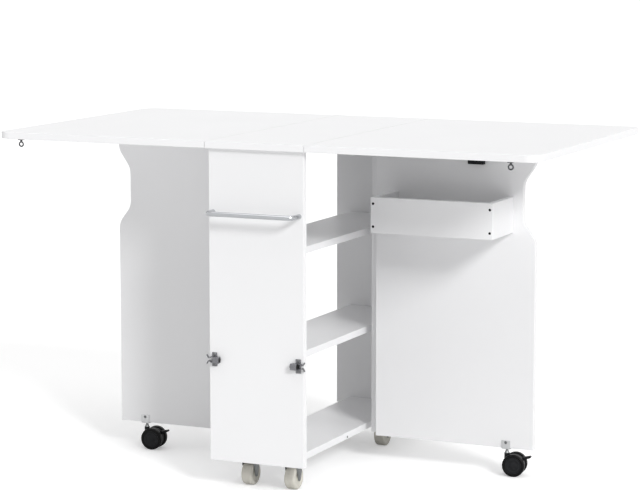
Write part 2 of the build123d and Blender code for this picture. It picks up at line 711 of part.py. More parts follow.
def caster_face(side):
    """Y of the gate face that looks to the front, which carries the caster's bracket."""
    return GATE_FRONT if side > 0 else -GATE_REAR


def bracket_screw_place(side):
    """Seat of the bracket's screw."""
    z = GATE_FLOOR_GAP + BRACKET_SCREW_Z
    return place((side * CASTER_X, caster_face(side) - BRACKET_T, z), (0, -1, 0))


def stem_pocket(side):
    """Pocket in the gate's lower edge for the stem's riveted head."""
    top = stem_top() + STEM_POCKET_ROOM
    start = GATE_FLOOR_GAP - PASS
    return rod(caster_frame(side) * Pos(0, 0, start), STEM_HEAD_R + STEM_POCKET_ROOM, top - start)


def caster_bracket(side):
    """Bent plate on the gate's face whose foot, under the gate's edge, carries the caster's stem."""
    x = (side * CASTER_X - BRACKET_W / 2, side * CASTER_X + BRACKET_W / 2)
    face = caster_face(side)
    under = GATE_FLOOR_GAP - BRACKET_T
    plate = block(x, (face - BRACKET_T, face), (under, GATE_FLOOR_GAP + BRACKET_H))
    foot = block(x, (face - BRACKET_T, face + BRACKET_REACH), (under, GATE_FLOOR_GAP))
    foot = fillet(foot.edges().filter_by(Axis.Z).group_by(Axis.Y)[-1], BRACKET_CORNER_R)
    stem = rod(caster_frame(side) * Pos(0, 0, COLLAR_TOP), STEM_R + PIN_FIT, BRACKET_H + GATE_FLOOR_GAP)
    return drill(plate + foot, [stem, pan_screw(bracket_screw_place(side), SCREW_FIT, BRACKET_SCREW_L)])


def caster_frame(side):
    """Caster's own frame: origin on the floor under its stem, X towards its wheels."""
    yaw = CASTER_YAW["right" if side > 0 else "left"]
    return Pos(side * CASTER_X, caster_face(side) + BOARD / 2, 0) * Rot(0, 0, yaw)


def stem_top():
    """Z of the top of the stem's riveted head, which rests on the bracket's foot."""
    return GATE_FLOOR_GAP + DOWEL_FIT + STEM_HEAD_H


def along_y(x, y, z):
    """Place in the caster's frame that looks along its Y."""
    return place((x, y, z), (0, 1, 0))


def lever_profile(grow, turn=0.0):
    """Lever's side view: round root at its pivot, tapering to a small round tip."""
    px, pz = LEVER_PIVOT
    root = Pos(px, pz) * Circle(LEVER_ROOT_R + grow)
    dx, dz = LEVER_TIP[0] - px, LEVER_TIP[1] - pz
    angle = math.radians(turn)
    tip_x = px + dx * math.cos(angle) + dz * math.sin(angle)
    tip_z = pz - dx * math.sin(angle) + dz * math.cos(angle)
    end = Pos(tip_x, tip_z) * Circle(LEVER_TIP_R + grow)
    return make_hull((root + end).edges())


def lever_solid(width, grow=0.0, turn=0.0):
    """Lever profile as a solid of a given width about the caster's middle plane."""
    side_view = Plane(origin=(0, width / 2, 0), x_dir=(1, 0, 0), z_dir=(0, -1, 0))
    return extrude(side_view * lever_profile(grow, turn), width)


def caster_hood():
    """Caster body between the wheels, with the stem's collar, the axle bore and the lever's slot."""
    disc = rod(along_y(CASTER_TRAIL, -HOOD_W / 2, TWIN_R), HOOD_R, HOOD_W)
    disc = fillet(disc.edges(), HOOD_EDGE_R)
    span = (CASTER_TRAIL - TWIN_R, CASTER_TRAIL + TWIN_R)
    disc -= block(span, (-HOOD_W, HOOD_W), (-PASS, HOOD_FLOOR))
    boss = rod(Pos(0, 0, TWIN_R), HOOD_BOSS_R, COLLAR_TOP - TWIN_R)
    body = disc + boss
    body -= rod(Pos(0, 0, COLLAR_TOP - STEM_DEPTH), STEM_R + PRESS_FIT, STEM_DEPTH + PASS)
    body -= rod(along_y(CASTER_TRAIL, -HOOD_W, TWIN_R), AXLE_R + PRESS_FIT, 2 * HOOD_W)
    for turn in range(0, LEVER_TURN + 1, LEVER_SLOT_STEP):
        body -= lever_solid(LEVER_W + 2 * LEVER_SLOT_ROOM, LEVER_SLOT_ROOM, turn)
    return body - lever_pin(PRESS_FIT)


def lever_pin(grow=0.0):
    """Pin through the lever's root, held in the body."""
    x, z = LEVER_PIVOT
    return rod(along_y(x, -LEVER_PIN_L / 2 - grow, z), LEVER_PIN_R + grow, LEVER_PIN_L + 2 * grow)


def caster_pins():
    """Stem with its ferrule and riveted head, the wheels' axle and the lever's pin."""
    foot = COLLAR_TOP - STEM_DEPTH
    stem = rod(Pos(0, 0, foot), STEM_R, stem_top() - foot)
    stem += rod(Pos(0, 0, stem_top() - STEM_HEAD_H), STEM_HEAD_R, STEM_HEAD_H)
    stem += Pos(0, 0, COLLAR_TOP + FERRULE_H / 2) * Cone(FERRULE_R, FERRULE_TOP_R, FERRULE_H)
    axle = rod(along_y(CASTER_TRAIL, -AXLE_REACH, TWIN_R), AXLE_R, 2 * AXLE_REACH)
    return group([stem, axle, lever_pin()])


def twin_wheel(side):
    """One caster wheel: front (-1) or back (1), dished outside and bored blind for the axle."""
    inner = HOOD_W / 2 + TWIN_GAP
    wheel = rod(along_y(CASTER_TRAIL, inner, TWIN_R), TWIN_R, TWIN_W)
    wheel = fillet(wheel.edges(), TWIN_EDGE_R)
    wheel -= rod(along_y(CASTER_TRAIL, inner + TWIN_W - TWIN_DISH, TWIN_R), TWIN_DISH_R, TWIN_DISH + PASS)
    bore = AXLE_REACH + AXLE_END_ROOM - inner
    wheel -= rod(along_y(CASTER_TRAIL, inner - PASS, TWIN_R), AXLE_R + PIN_FIT, bore + PASS)
    return wheel if side > 0 else mirror(wheel, about=Plane.XZ)


def caster_lever():
    """Brake lever on its pin."""
    body = lever_solid(LEVER_W)
    px, pz = LEVER_PIVOT
    return body - rod(along_y(px, -LEVER_W, pz), LEVER_PIN_R + PIN_FIT, 2 * LEVER_W)


# Fixed casters under the bottom shelf

def fork_screw_places():
    """Seats of the four screws in each fixed caster's plate."""
    seat = CABINET_FLOOR - FORK_T
    return [place((side * x + sx * FORK_SCREW_X, y + sy * FORK_SCREW_Y, seat), (0, 0, -1))
            for side, (x, y) in WHEEL_SIDES.values() for sx in (-1, 1) for sy in (-1, 1)]


def fixed_fork(side, spot):
    """Pressed fork: a plate and two tapering legs with round eyes."""
    x, y = side * spot[0], spot[1]
    inner = WHEEL_W / 2 + FORK_GAP
    outer = inner + FORK_T
    plate = block((x - outer, x + outer), (y - FORK_PLATE_L / 2, y + FORK_PLATE_L / 2),
                  (CABINET_FLOOR - FORK_T, CABINET_FLOOR))
    half = FORK_LEG_TOP / 2
    top = CABINET_FLOOR - FORK_T / 2
    eye = Pos(0, WHEEL_R) * Circle(FORK_EYE_R)
    crown = Pos(0, top - FORK_CROWN_H / 2) * Rectangle(2 * half, FORK_CROWN_H)
    profile = make_hull((eye + crown).edges())
    for face_x in (x - outer, x + inner):
        leg_plane = Plane(origin=(face_x, y, 0), x_dir=(0, 1, 0), z_dir=(1, 0, 0))
        plate += extrude(leg_plane * profile, FORK_T)
    holes = [pan_screw(p, SCREW_FIT) for p in fork_screw_places()
             if abs(p.position.X - x) < outer and abs(p.position.Y - y) < FORK_PLATE_L]
    eye_bore = 2 * (outer + PASS)
    holes.append(rod(place((x - outer - PASS, y, WHEEL_R), (1, 0, 0)), AXLE_R + PRESS_FIT, eye_bore))
    return drill(plate, holes)


def fixed_axles():
    """Riveted axles of the fixed casters."""
    axles = []
    outer = WHEEL_W / 2 + FORK_GAP + FORK_T
    for side, (x, y) in WHEEL_SIDES.values():
        start = place((side * x - outer - RIVET_HEAD, y, WHEEL_R), (1, 0, 0))
        axle = rod(start, AXLE_R, 2 * (outer + RIVET_HEAD))
        for shift in (0, 2 * outer + RIVET_HEAD):
            axle += rod(start * Pos(0, 0, shift), RIVET_HEAD_R, RIVET_HEAD)
        axles.append(axle)
    return axles


def fixed_wheel(side, spot):
    """Broad wheel with rounded shoulders, a shallow recess on each face and a hub."""
    start = place((side * spot[0] - WHEEL_W / 2, spot[1], WHEEL_R), (1, 0, 0))
    wheel = rod(start, WHEEL_R, WHEEL_W)
    wheel = fillet(wheel.edges(), WHEEL_SHOULDER)
    for shift in (-PASS, WHEEL_W - WHEEL_RECESS):
        ring = rod(start * Pos(0, 0, shift), WHEEL_RECESS_R, WHEEL_RECESS + PASS)
        wheel -= ring - rod(start * Pos(0, 0, shift - PASS), HUB_R, WHEEL_RECESS + 3 * PASS)
    return wheel - rod(start * Pos(0, 0, -PASS), AXLE_R + PIN_FIT, WHEEL_W + 2 * PASS)


# Screws, by the body that they hold to

def cabinet_screws():
    """Every screw that stays with the cabinet."""
    turned = [flush_screw(p) for p in leaf_screw_places(-1) + gate_plate_screws_fixed()]
    turned += [pan_screw(p) for p in angle_screw_places()]
    screws = turned + [HALF_TURN * s for s in turned]
    screws += [pan_screw(p) for p in clip_screw_places()]
    screws += [pan_screw(p) for p in fork_screw_places()]
    screws.append(flush_screw(edge_screw_place()))
    return group(screws)


def gate_screws(side):
    """Every screw that moves with one gate, the tray's apart."""
    own = [flush_screw(p) for p in gate_plate_screws_moving()]
    own += [flush_screw(p, 0.0, CATCH_SCREW_L) for p in catch_screw_places()]
    if side < 0:
        own = [HALF_TURN * s for s in own]
    return group(own + [pan_screw(bracket_screw_place(side), 0.0, BRACKET_SCREW_L)])


def mirror_x(shape):
    """Shape reflected from the right side to the left."""
    return mirror(shape, about=Plane.YZ)


def save_tabletop():
    """Centre board, leaves, and what is screwed to the leaves."""
    save("centre_top", centre_top())
    leaf = right_leaf_board()
    save("right_leaf", leaf)
    save("left_leaf", mirror_x(leaf))
    plates = [leaf_hinge_side(y, False) for y in LEAF_HINGE_Y]
    save("right_leaf_hinge_plates", group(plates))
    save("left_leaf_hinge_plates", group([mirror_x(p) for p in plates]))
    screws = [flush_screw(p) for p in leaf_screw_places(1)]
    save("right_leaf_screws", group(screws))
    save("left_leaf_screws", group([mirror_x(s) for s in screws]))
    strike = right_strike()
    save("right_strike", strike)
    save("left_strike", mirror_x(strike))


def save_cabinet():
    """Boards, dowels, fixed hinge halves, pins and fittings of the cabinet."""
    save("front_panel", end_panel(-1))
    save("rear_panel", end_panel(1))
    save("right_side_panel", side_panel(1))
    save("left_side_panel", side_panel(-1))
    for node, top in SHELF_TOPS.items():
        save(node, shelf(top))
    save("cabinet_dowels", group(top_dowels() + end_dowels()))
    fixed = [leaf_hinge_side(y, True) for y in LEAF_HINGE_Y]
    save("leaf_hinge_fixed_plates", group(fixed + [HALF_TURN * p for p in fixed]))
    fixed = [gate_hinge_side(z, True) for z in GATE_HINGE_Z]
    save("gate_hinge_fixed_plates", group(fixed + [HALF_TURN * p for p in fixed]))
    save("hinge_pins", group(hinge_pins()))
    save("towel_bar", towel_bar())
    clip = right_clip()
    save("right_clip", clip)
    save("left_clip", mirror_x(clip))
    core = clip_housing_core()
    save("clip_cores", group([core, mirror_x(core)]))
    angle = catch_angle()
    save("catch_angles", group([angle, HALF_TURN * angle]))
    save("cabinet_screws", cabinet_screws())


def save_gates():
    """Both gates with their hinge plates, catches, glides, brackets and screws, and the tray."""
    plates = [gate_hinge_side(z, False) for z in GATE_HINGE_Z]
    for side, name in ((1, "right"), (-1, "left")):
        turn = HALF_TURN if side < 0 else Pos(0, 0, 0)
        save(f"{name}_gate", gate_board(side))
        save(f"{name}_gate_hinge_plates", group([turn * p for p in plates]))
        save(f"{name}_gate_catch", turn * gate_catch())
        save(f"{name}_gate_glide", turn * gate_glide())
        save(f"{name}_gate_screws", gate_screws(side))
        save(f"{name}_caster_bracket", caster_bracket(side))
    save("tray_front", tray_front())
    save("tray_ends", tray_ends())
    save("tray_base", tray_base())
    places = tray_front_screws() + tray_back_screws()
    save("tray_screws", group([flush_screw(p, 0.0, TRAY_SCREW_L) for p in places]))


def save_casters():
    """Swivel casters under the gates and fixed casters under the cabinet."""
    for side, name in ((1, "right"), (-1, "left")):
        frame = caster_frame(side)
        save(f"{name}_caster_body", frame * caster_hood())
        save(f"{name}_caster_pins", frame * caster_pins())
        save(f"{name}_caster_lever", frame * caster_lever())
        for place_name, half in (("front", -1), ("back", 1)):
            save(f"{name}_caster_{place_name}_wheel", frame * twin_wheel(half))
    save("fixed_caster_forks", group([fixed_fork(side, spot) for side, spot in WHEEL_SIDES.values()]))
    save("fixed_caster_axles", group(fixed_axles()))
    for name, (side, spot) in WHEEL_SIDES.items():
        save(f"{name}_wheel", fixed_wheel(side, spot))


def main():
    """Write every node of the table."""
    os.makedirs("parts", exist_ok=True)
    save_tabletop()
    save_cabinet()
    save_gates()
    save_casters()


main()
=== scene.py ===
"""Looks of a rolling drop-leaf table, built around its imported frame. Drawing sizes are in millimetres."""
import logging
import math
from dataclasses import dataclass, field
from enum import Enum
from typing import Callable, Iterable, Sequence

import bmesh
import bpy
from bmesh.types import BMEdge, BMesh, BMFace, BMVert
from mathutils import Matrix, Vector


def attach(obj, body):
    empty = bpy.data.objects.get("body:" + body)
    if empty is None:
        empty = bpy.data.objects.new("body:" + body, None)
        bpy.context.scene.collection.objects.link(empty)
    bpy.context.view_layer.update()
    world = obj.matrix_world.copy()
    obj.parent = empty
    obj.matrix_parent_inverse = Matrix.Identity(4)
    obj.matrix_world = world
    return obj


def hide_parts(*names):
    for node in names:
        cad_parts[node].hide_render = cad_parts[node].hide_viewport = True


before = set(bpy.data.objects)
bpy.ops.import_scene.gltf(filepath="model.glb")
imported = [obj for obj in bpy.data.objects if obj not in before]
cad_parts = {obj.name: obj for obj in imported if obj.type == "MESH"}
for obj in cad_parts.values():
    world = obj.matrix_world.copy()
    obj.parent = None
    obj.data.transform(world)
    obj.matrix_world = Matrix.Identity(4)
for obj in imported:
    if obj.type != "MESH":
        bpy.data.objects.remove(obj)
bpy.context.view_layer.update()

logging.basicConfig(level=logging.INFO, format="%(message)s")
log = logging.getLogger("table")

MM = 0.001
# The part is drawn about the middle of its top, and the frame's origin is this far in front of that
FRAME_SHIFT = 15.125
BOARD = 15.0
TOP = 735.0
GATE_PIN = (112.05, 54.25)
GATE_FRONT = 37.2
GATE_REAR = 52.2
GATE_TOP = 730.5
CABINET_FRONT = -340.0
CLIP_X, CLIP_Z = 98.0, 284.0
CATCH_DEPTH = 12.0
SWIVEL_X = 424.0
# X and Y of the right-hand fixed casters, by the cabinet's end
FIXED_CASTERS = {"front": (51.0, -264.0), "rear": (60.0, 205.0)}
HALF_TURN = Matrix.Rotation(math.pi, 4, "Z")
SHARP = math.radians(32)
# Blender's noise mostly keeps between these
NOISE_LOW, NOISE_HIGH = 0.3, 0.7
# Form of a screw head, as shares of its radius
CROSS_ARM, CROSS_HALF, CROSS_DEPTH = 0.58, 0.15, 0.42
PAN_CROWN, PAN_SHANK, FLUSH_SHANK = 0.8, 0.45, 0.52
# How wide the cross recess is at its bottom, as a share of its top
CROSS_TAPER = 0.8
# Drop from the middle of a round head to its crown's edge, as a share of its rise
CROWN_DROP = 0.35
SHANK_LENGTH = 2.0
# Faces round a small disc or a screw head
DISC_STEPS = 24
# Gaps in millimetres that count as none: in a finished piece, and while it is built
MERGE, NEAR = 1e-3, 1e-4
# An edge that turns by more radians than this is a corner
CORNER = 1.0


class Side(Enum):
    """The table's right and left side, with the sign of X there."""

    RIGHT = 1
    LEFT = -1

    @property
    def word(self) -> str:
        """Name of the side as it stands in node names."""
        return self.name.lower()

    @property
    def turn(self) -> Matrix:
        """Turn that brings what is drawn on the right gate to this side's gate."""
        return Matrix.Identity(4) if self is Side.RIGHT else HALF_TURN

    @property
    def mirror(self) -> Matrix:
        """Mirror that brings what is drawn on the right to this side."""
        return Matrix.Diagonal((self.value, 1, 1, 1))

    @property
    def gate_face(self) -> float:
        """Y of the face of this side's gate that looks to the front."""
        return GATE_FRONT if self is Side.RIGHT else -GATE_REAR


class Face(Enum):
    """Axis that a board's broad faces look along."""

    X = 0
    Y = 1
    Z = 2


# Colour and shader helpers

def linear(code: str) -> tuple[float, float, float, float]:
    """Turn an sRGB hex colour into linear light.

    Args:
        code: six hex digits.

    Returns:
        Linear red, green and blue, and an alpha of 1.
    """
    parts = [int(code[i:i + 2], 16) / 255 for i in (0, 2, 4)]
    red, green, blue = ((c / 12.92 if c <= 0.04045 else ((c + 0.055) / 1.055) ** 2.4) for c in parts)
    return red, green, blue, 1.0


def add_node(tree: bpy.types.NodeTree, kind: str, settings: dict | None = None,
             inputs: dict | None = None) -> bpy.types.Node:
    """Add a shader node with its settings, its values and its incoming links.

    Args:
        tree: node tree that gets the node.
        kind: Blender's name of the node type.
        settings: attributes to set on the node.
        inputs: socket name or number to a value, or to an output socket to link.

    Returns:
        The new node.
    """
    made = tree.nodes.new(kind)
    for key, value in (settings or {}).items():
        setattr(made, key, value)
    for key, value in (inputs or {}).items():
        if isinstance(value, bpy.types.NodeSocket):
            tree.links.new(value, made.inputs[key])
        else:
            made.inputs[key].default_value = value
    return made


@dataclass(frozen=True)
class Finish:
    """A surface: one base colour and a shader whose colour, roughness and bump vary with noise.

    Sizes of the grain and the mottle are real ones in millimetres.
    """

    name: str
    colour: str
    roughness: float
    metallic: float = 0.0
    ior: float = 1.5
    grain_mm: float = 1.0
    grain_height_mm: float = 0.01
    mottle_mm: float = 60.0
    mottle: float = 0.02
    roughness_swing: float = 0.06

    def build(self) -> bpy.types.Material:
        """Make the Blender material.

        Returns:
            The material, with its noise on Object coordinates.
        """
        material = bpy.data.materials.new(self.name)
        material.use_nodes = True
        tree = material.node_tree
        shader = tree.nodes["Principled BSDF"]
        where = add_node(tree, "ShaderNodeTexCoord").outputs["Object"]
        shader.inputs["Metallic"].default_value = self.metallic
        if not self.metallic:
            shader.inputs["IOR"].default_value = self.ior
        tree.links.new(self.colour_output(tree, where), shader.inputs["Base Color"])
        grain = add_node(tree, "ShaderNodeTexNoise", {}, {
            "Vector": where, "Scale": 1 / (self.grain_mm * MM), "Detail": 3.0})
        swing = add_node(tree, "ShaderNodeMapRange", {}, {
            "Value": grain.outputs["Fac"], "From Min": NOISE_LOW, "From Max": NOISE_HIGH,
            "To Min": self.roughness - self.roughness_swing, "To Max": self.roughness + self.roughness_swing})
        tree.links.new(swing.outputs["Result"], shader.inputs["Roughness"])
        bump = add_node(tree, "ShaderNodeBump", {}, {
            "Height": grain.outputs["Fac"], "Distance": self.grain_height_mm * MM, "Strength": 1.0})
        tree.links.new(bump.outputs["Normal"], shader.inputs["Normal"])
        return material

    def colour_output(self, tree: bpy.types.NodeTree, where: bpy.types.NodeSocket) -> bpy.types.NodeSocket:
        """Base colour with a faint mottle.

        Args:
            tree: the material's node tree.
            where: Object coordinates.

        Returns:
            The socket that carries the colour.
        """
        noise = add_node(tree, "ShaderNodeTexNoise", {}, {
            "Vector": where, "Scale": 1 / (self.mottle_mm * MM), "Detail": 4.0})
        shade = add_node(tree, "ShaderNodeMapRange", {}, {
            "Value": noise.outputs["Fac"], "From Min": NOISE_LOW, "From Max": NOISE_HIGH,
            "To Min": 1 - self.mottle, "To Max": 1.0})
        tint = add_node(tree, "ShaderNodeVectorMath", {"operation": "SCALE"}, {
            0: linear(self.colour)[:3], "Scale": shade.outputs["Result"]})
        return tint.outputs["Vector"]


@dataclass(frozen=True)
class Melamine(Finish):
    """Melamine-faced board: satin pearl faces, and a slightly brighter band on the narrow edges."""

    band: str = "F3F3F4"
    band_ends: tuple[float, float] = (0.35, 0.6)
    face: Face = Face.Z

    def colour_output(self, tree: bpy.types.NodeTree, where: bpy.types.NodeSocket) -> bpy.types.NodeSocket:
        """Face colour where the surface looks along the board's thickness, band colour elsewhere.

        Args:
            tree: the material's node tree.
            where: Object coordinates.

        Returns:
            The socket that carries the colour.
        """
        face = super().colour_output(tree, where)
        normal = add_node(tree, "ShaderNodeTexCoord").outputs["Normal"]
        axis = [1.0 if i == self.face.value else 0.0 for i in range(3)]
        along = add_node(tree, "ShaderNodeVectorMath", {"operation": "DOT_PRODUCT"}, {0: normal, 1: axis})
        size = add_node(tree, "ShaderNodeMath", {"operation": "ABSOLUTE"}, {0: along.outputs["Value"]})
        low, high = self.band_ends
        on_edge = add_node(tree, "ShaderNodeMapRange", {}, {
            "Value": size.outputs["Value"], "From Min": low, "From Max": high, "To Min": 1.0, "To Max": 0.0})
        mix = add_node(tree, "ShaderNodeMix", {"data_type": "RGBA"}, {
            "Factor": on_edge.outputs["Result"], 6: face, 7: linear(self.band)})
        return mix.outputs[2]


# Particle board with a printed and pressed white melamine paper: an even satin white with a faint
# pearl. The pearl is drawn three times its real size, which would not show.
MELAMINE = {axis: Melamine(f"melamine_board_{axis.name.lower()}", "F1F1F2", 0.42, grain_mm=1.8,
                           grain_height_mm=0.012, mottle_mm=180, mottle=0.012, face=axis) for axis in Face}
# Chromium plate on drawn steel tube: mirror bright, with a very slight drawn waviness
CHROME = Finish("chromium_plated_tube", "BEC0C3", 0.09, metallic=1.0, grain_mm=5, grain_height_mm=0.004,
                roughness_swing=0.03, mottle=0.03)
# Zinc electroplate on thin bent strip: a lighter copy of the pressed-steel zinc, its extra brightness painted
# light for the lit caster brackets
LIT_BRACKET_ZINC = Finish("zinc_plated_strip_painted_light", "D2D3D4", 0.42, metallic=1.0, grain_mm=0.8,
                    grain_height_mm=0.006, mottle_mm=7, mottle=0.1)
# Nickel plate on stamped spring steel: bright but greyer and softer than chromium
NICKEL = Finish("nickel_plated_spring_steel", "86868A", 0.26, metallic=1.0, grain_mm=1.2,
                grain_height_mm=0.006, mottle_mm=8, mottle=0.12)
# Zinc electroplate on pressed steel: cool grey with a cloudy spangle, drawn darker than the strip zinc as
# painted shade for the forks under the bottom shelf
ZINC = Finish("zinc_plated_pressed_steel", "8F9191", 0.36, metallic=1.0, grain_mm=0.9, grain_height_mm=0.008,
              mottle_mm=6, mottle=0.16)
# Zinc electroplate on small screws: grey and uneven
SCREW_ZINC = Finish("zinc_plated_screw", "8D8E8F", 0.34, metallic=1.0, grain_mm=0.5, grain_height_mm=0.006,
                    mottle_mm=3, mottle=0.2)
# Black oxide on wood screws: a dull blue-black
BLACK_OXIDE = Finish("black_oxide_steel", "26272A", 0.5, metallic=1.0, grain_mm=0.6, grain_height_mm=0.01,
                     mottle_mm=4, mottle=0.25)
# Black oxide on bright drawn wire: a thin dark film that the steel's shine comes through
OXIDE_WIRE = Finish("oiled_black_oxide_wire", "5C5D60", 0.28, metallic=1.0, grain_mm=0.6,
                    grain_height_mm=0.006, mottle_mm=4, mottle=0.3)
# Moulded polypropylene with a spark-eroded grain: matt near-black, greyer than the treads
POLYPROPYLENE = Finish("moulded_polypropylene", "1F2022", 0.52, ior=1.25, grain_mm=0.7, grain_height_mm=0.03,
                       mottle_mm=12, mottle=0.12)
# Moulded nylon tread: smoother and blacker, with a soft shine
NYLON_TREAD = Finish("moulded_nylon_tread", "0A0A0B", 0.34, ior=1.25, grain_mm=1.4, grain_height_mm=0.008,
                     mottle_mm=10, mottle=0.15)
# Natural nylon: ivory, satin, with faint flow marks
NATURAL_NYLON = Finish("moulded_natural_nylon", "D3D0C6", 0.38, grain_mm=1.2, grain_height_mm=0.01,
                       mottle_mm=14, mottle=0.05)
# Nitrile rubber: dead matt black
RUBBER = Finish("moulded_nitrile_rubber", "171717", 0.75, grain_mm=0.6, grain_height_mm=0.03, mottle=0.1)
# Turned beech dowel: pale brown, with a fine open grain
BEECH = Finish("turned_beech", "C9A273", 0.6, grain_mm=1.5, grain_height_mm=0.05, mottle_mm=5, mottle=0.2)

_built: dict[str, bpy.types.Material] = {}


def material_of(finish: Finish) -> bpy.types.Material:
    """Blender material of a finish, built once.

    Args:
        finish: finish that is asked for.

    Returns:
        Its material, the same one each time.
    """
    if finish.name not in _built:
        _built[finish.name] = finish.build()
    return _built[finish.name]


# Mesh helpers, in millimetres in the part's drawing

def new_verts(bm: BMesh, before: set[BMVert]) -> list[BMVert]:
    """Vertices that were added since a set was taken."""
    return [v for v in bm.verts if v not in before]


def only(kind: type, geom: Iterable) -> list:
    """Elements of one kind, in their order."""
    return [g for g in geom if isinstance(g, kind)]


def unique(items: Iterable) -> list:
    """Every item once, in the order met, which is the same in each run."""
    return list(dict.fromkeys(items))


def edges_at(verts: Iterable[BMVert]) -> list[BMEdge]:
    """Edges that meet any of some vertices."""
    return unique(e for v in verts for e in v.link_edges)


def faces_at(verts: Iterable[BMVert]) -> list[BMFace]:
    """Faces that meet any of some vertices."""
    return unique(f for v in verts for f in v.link_faces)


def round_edges(bm: BMesh, edges: list[BMEdge], radius: float, segments: int,
                clamp: bool = True) -> None:
    """Round edges over.

    Args:
        bm: mesh being built.
        edges: edges to round.
        radius: radius of the rounding.
        segments: faces across it.
        clamp: whether roundings that meet are kept from crossing.
    """
    bmesh.ops.bevel(bm, geom=edges, offset=radius, offset_type="OFFSET", segments=segments, profile=0.5,
                    affect="EDGES", material=-1, clamp_overlap=clamp)


def grow(bm: BMesh, edges: list[BMEdge]) -> tuple[list, list]:
    """Extrude edges in place, and give the new vertices and the new edges."""
    grown = bmesh.ops.extrude_edge_only(bm, edges=edges)["geom"]
    return only(BMVert, grown), only(BMEdge, grown)


def shaped(bm: BMesh, make: Callable[[], None], place: Matrix) -> None:
    """Run a shape's maker and move what it made.

    Args:
        bm: mesh being built.
        make: adds the shape at its own origin.
        place: where the shape goes.
    """
    before = set(bm.verts)
    make()
    bmesh.ops.transform(bm, matrix=place, verts=new_verts(bm, before))


def soft_box(bm: BMesh, low: Sequence[float], high: Sequence[float], radius: float,
             segments: int = 3) -> None:
    """Add a box between two corners, with rounded edges.

    Args:
        bm: mesh being built.
        low: lowest corner.
        high: highest corner.
        radius: radius of every edge.
        segments: faces round each edge.
    """
    size = [b - a for a, b in zip(low, high)]
    middle = [(a + b) / 2 for a, b in zip(low, high)]
    matrix = Matrix.Translation(middle) @ Matrix.Diagonal((*size, 1.0))
    made = bmesh.ops.create_cube(bm, size=1.0, matrix=matrix)
    round_edges(bm, edges_at(made["verts"]), radius, segments)


def lathe(bm: BMesh, profile: Sequence[tuple[float, float]], place: Matrix, steps: int = 48,
          material: int = 0) -> None:
    """Spin a profile of radius and height about a place's own Z.

    Args:
        bm: mesh being built.
        profile: points of radius and height, from one end to the other.
        place: location whose Z is the axis.
        steps: faces round the axis.
        material: slot number of the new faces.
    """
    def make() -> None:
        """Spin the profile about the origin's Z."""
        points = [bm.verts.new((max(r, 0.0), 0.0, z)) for r, z in profile]
        chain = [bm.edges.new(pair) for pair in zip(points, points[1:])]
        bmesh.ops.spin(bm, geom=points + chain, cent=(0, 0, 0), axis=(0, 0, 1), angle=2 * math.pi,
                       steps=steps, use_merge=True)
    before = set(bm.faces)
    shaped(bm, make, place)
    for face in bm.faces:
        if face not in before:
            face.material_index = material


def tube(bm: BMesh, radius: float, legs: Sequence[tuple[float, float]], bend: float,
         place: Matrix, sides: int = 32, steps: int = 12) -> None:
    """Extrude a round section along straight legs joined by bends in the place's own XZ plane.

    Args:
        bm: mesh being built.
        radius: radius of the tube.
        legs: length of each straight leg, and the turn in degrees that follows it.
        bend: radius of the bends along the tube's middle line.
        place: start of the tube, whose Z is the first leg's way.
        sides: faces round the tube.
        steps: rings in each bend.
    """
    def make() -> None:
        """Extrude and bend the tube leg by leg, from the origin."""
        ring = bmesh.ops.create_circle(bm, cap_ends=False, radius=radius, segments=sides)["verts"]
        edges = edges_at(ring)
        way, at = Vector((0, 0, 1)), Vector((0, 0, 0))
        for length, turn in legs:
            verts, edges = grow(bm, edges)
            bmesh.ops.translate(bm, vec=way * length, verts=verts)
            at += way * length
            if not turn:
                continue
            angle = math.radians(turn)
            inward = Matrix.Rotation(math.copysign(math.pi / 2, angle), 3, "Y") @ way
            centre = at + inward * bend
            made = bmesh.ops.spin(bm, geom=edges, cent=centre, axis=(0, 1, 0), angle=angle, steps=steps)
            edges = only(BMEdge, made["geom_last"])
            spun = Matrix.Rotation(angle, 3, "Y")
            at = centre + spun @ (at - centre)
            way = spun @ way
    shaped(bm, make, place)


def hull(bm: BMesh, discs: Sequence[tuple[float, float, float]], width: float, place: Matrix,
         edge: float) -> None:
    """Wrap discs that share one thickness into a single rounded plate.

    Args:
        bm: mesh being built.
        discs: centre and radius of each disc in the place's own XZ plane.
        width: thickness along the place's Y, about its middle.
        place: where the plate goes.
        edge: radius of its rims.
    """
    def make() -> None:
        """Wrap the discs about the origin and round the rims."""
        verts = []
        for x, z, radius in discs:
            matrix = Matrix.Translation((x, 0, z)) @ Matrix.Rotation(math.pi / 2, 4, "X")
            verts += bmesh.ops.create_cone(bm, cap_ends=True, segments=DISC_STEPS, radius1=radius,
                                           radius2=radius, depth=width, matrix=matrix)["verts"]
        made = bmesh.ops.convex_hull(bm, input=verts)
        spare = only(BMVert, made["geom_interior"] + made["geom_unused"])
        bmesh.ops.delete(bm, geom=unique(spare), context="VERTS")
        kept = [v for v in verts if v.is_valid]
        bmesh.ops.dissolve_limit(bm, angle_limit=math.radians(1), verts=kept,
                                 edges=unique(e for f in faces_at(kept) for e in f.edges))
        rims = [e for e in edges_at(v for v in kept if v.is_valid)
                if abs(e.verts[0].co.y - e.verts[1].co.y) < NEAR]
        round_edges(bm, rims, edge, 3)
    shaped(bm, make, place)


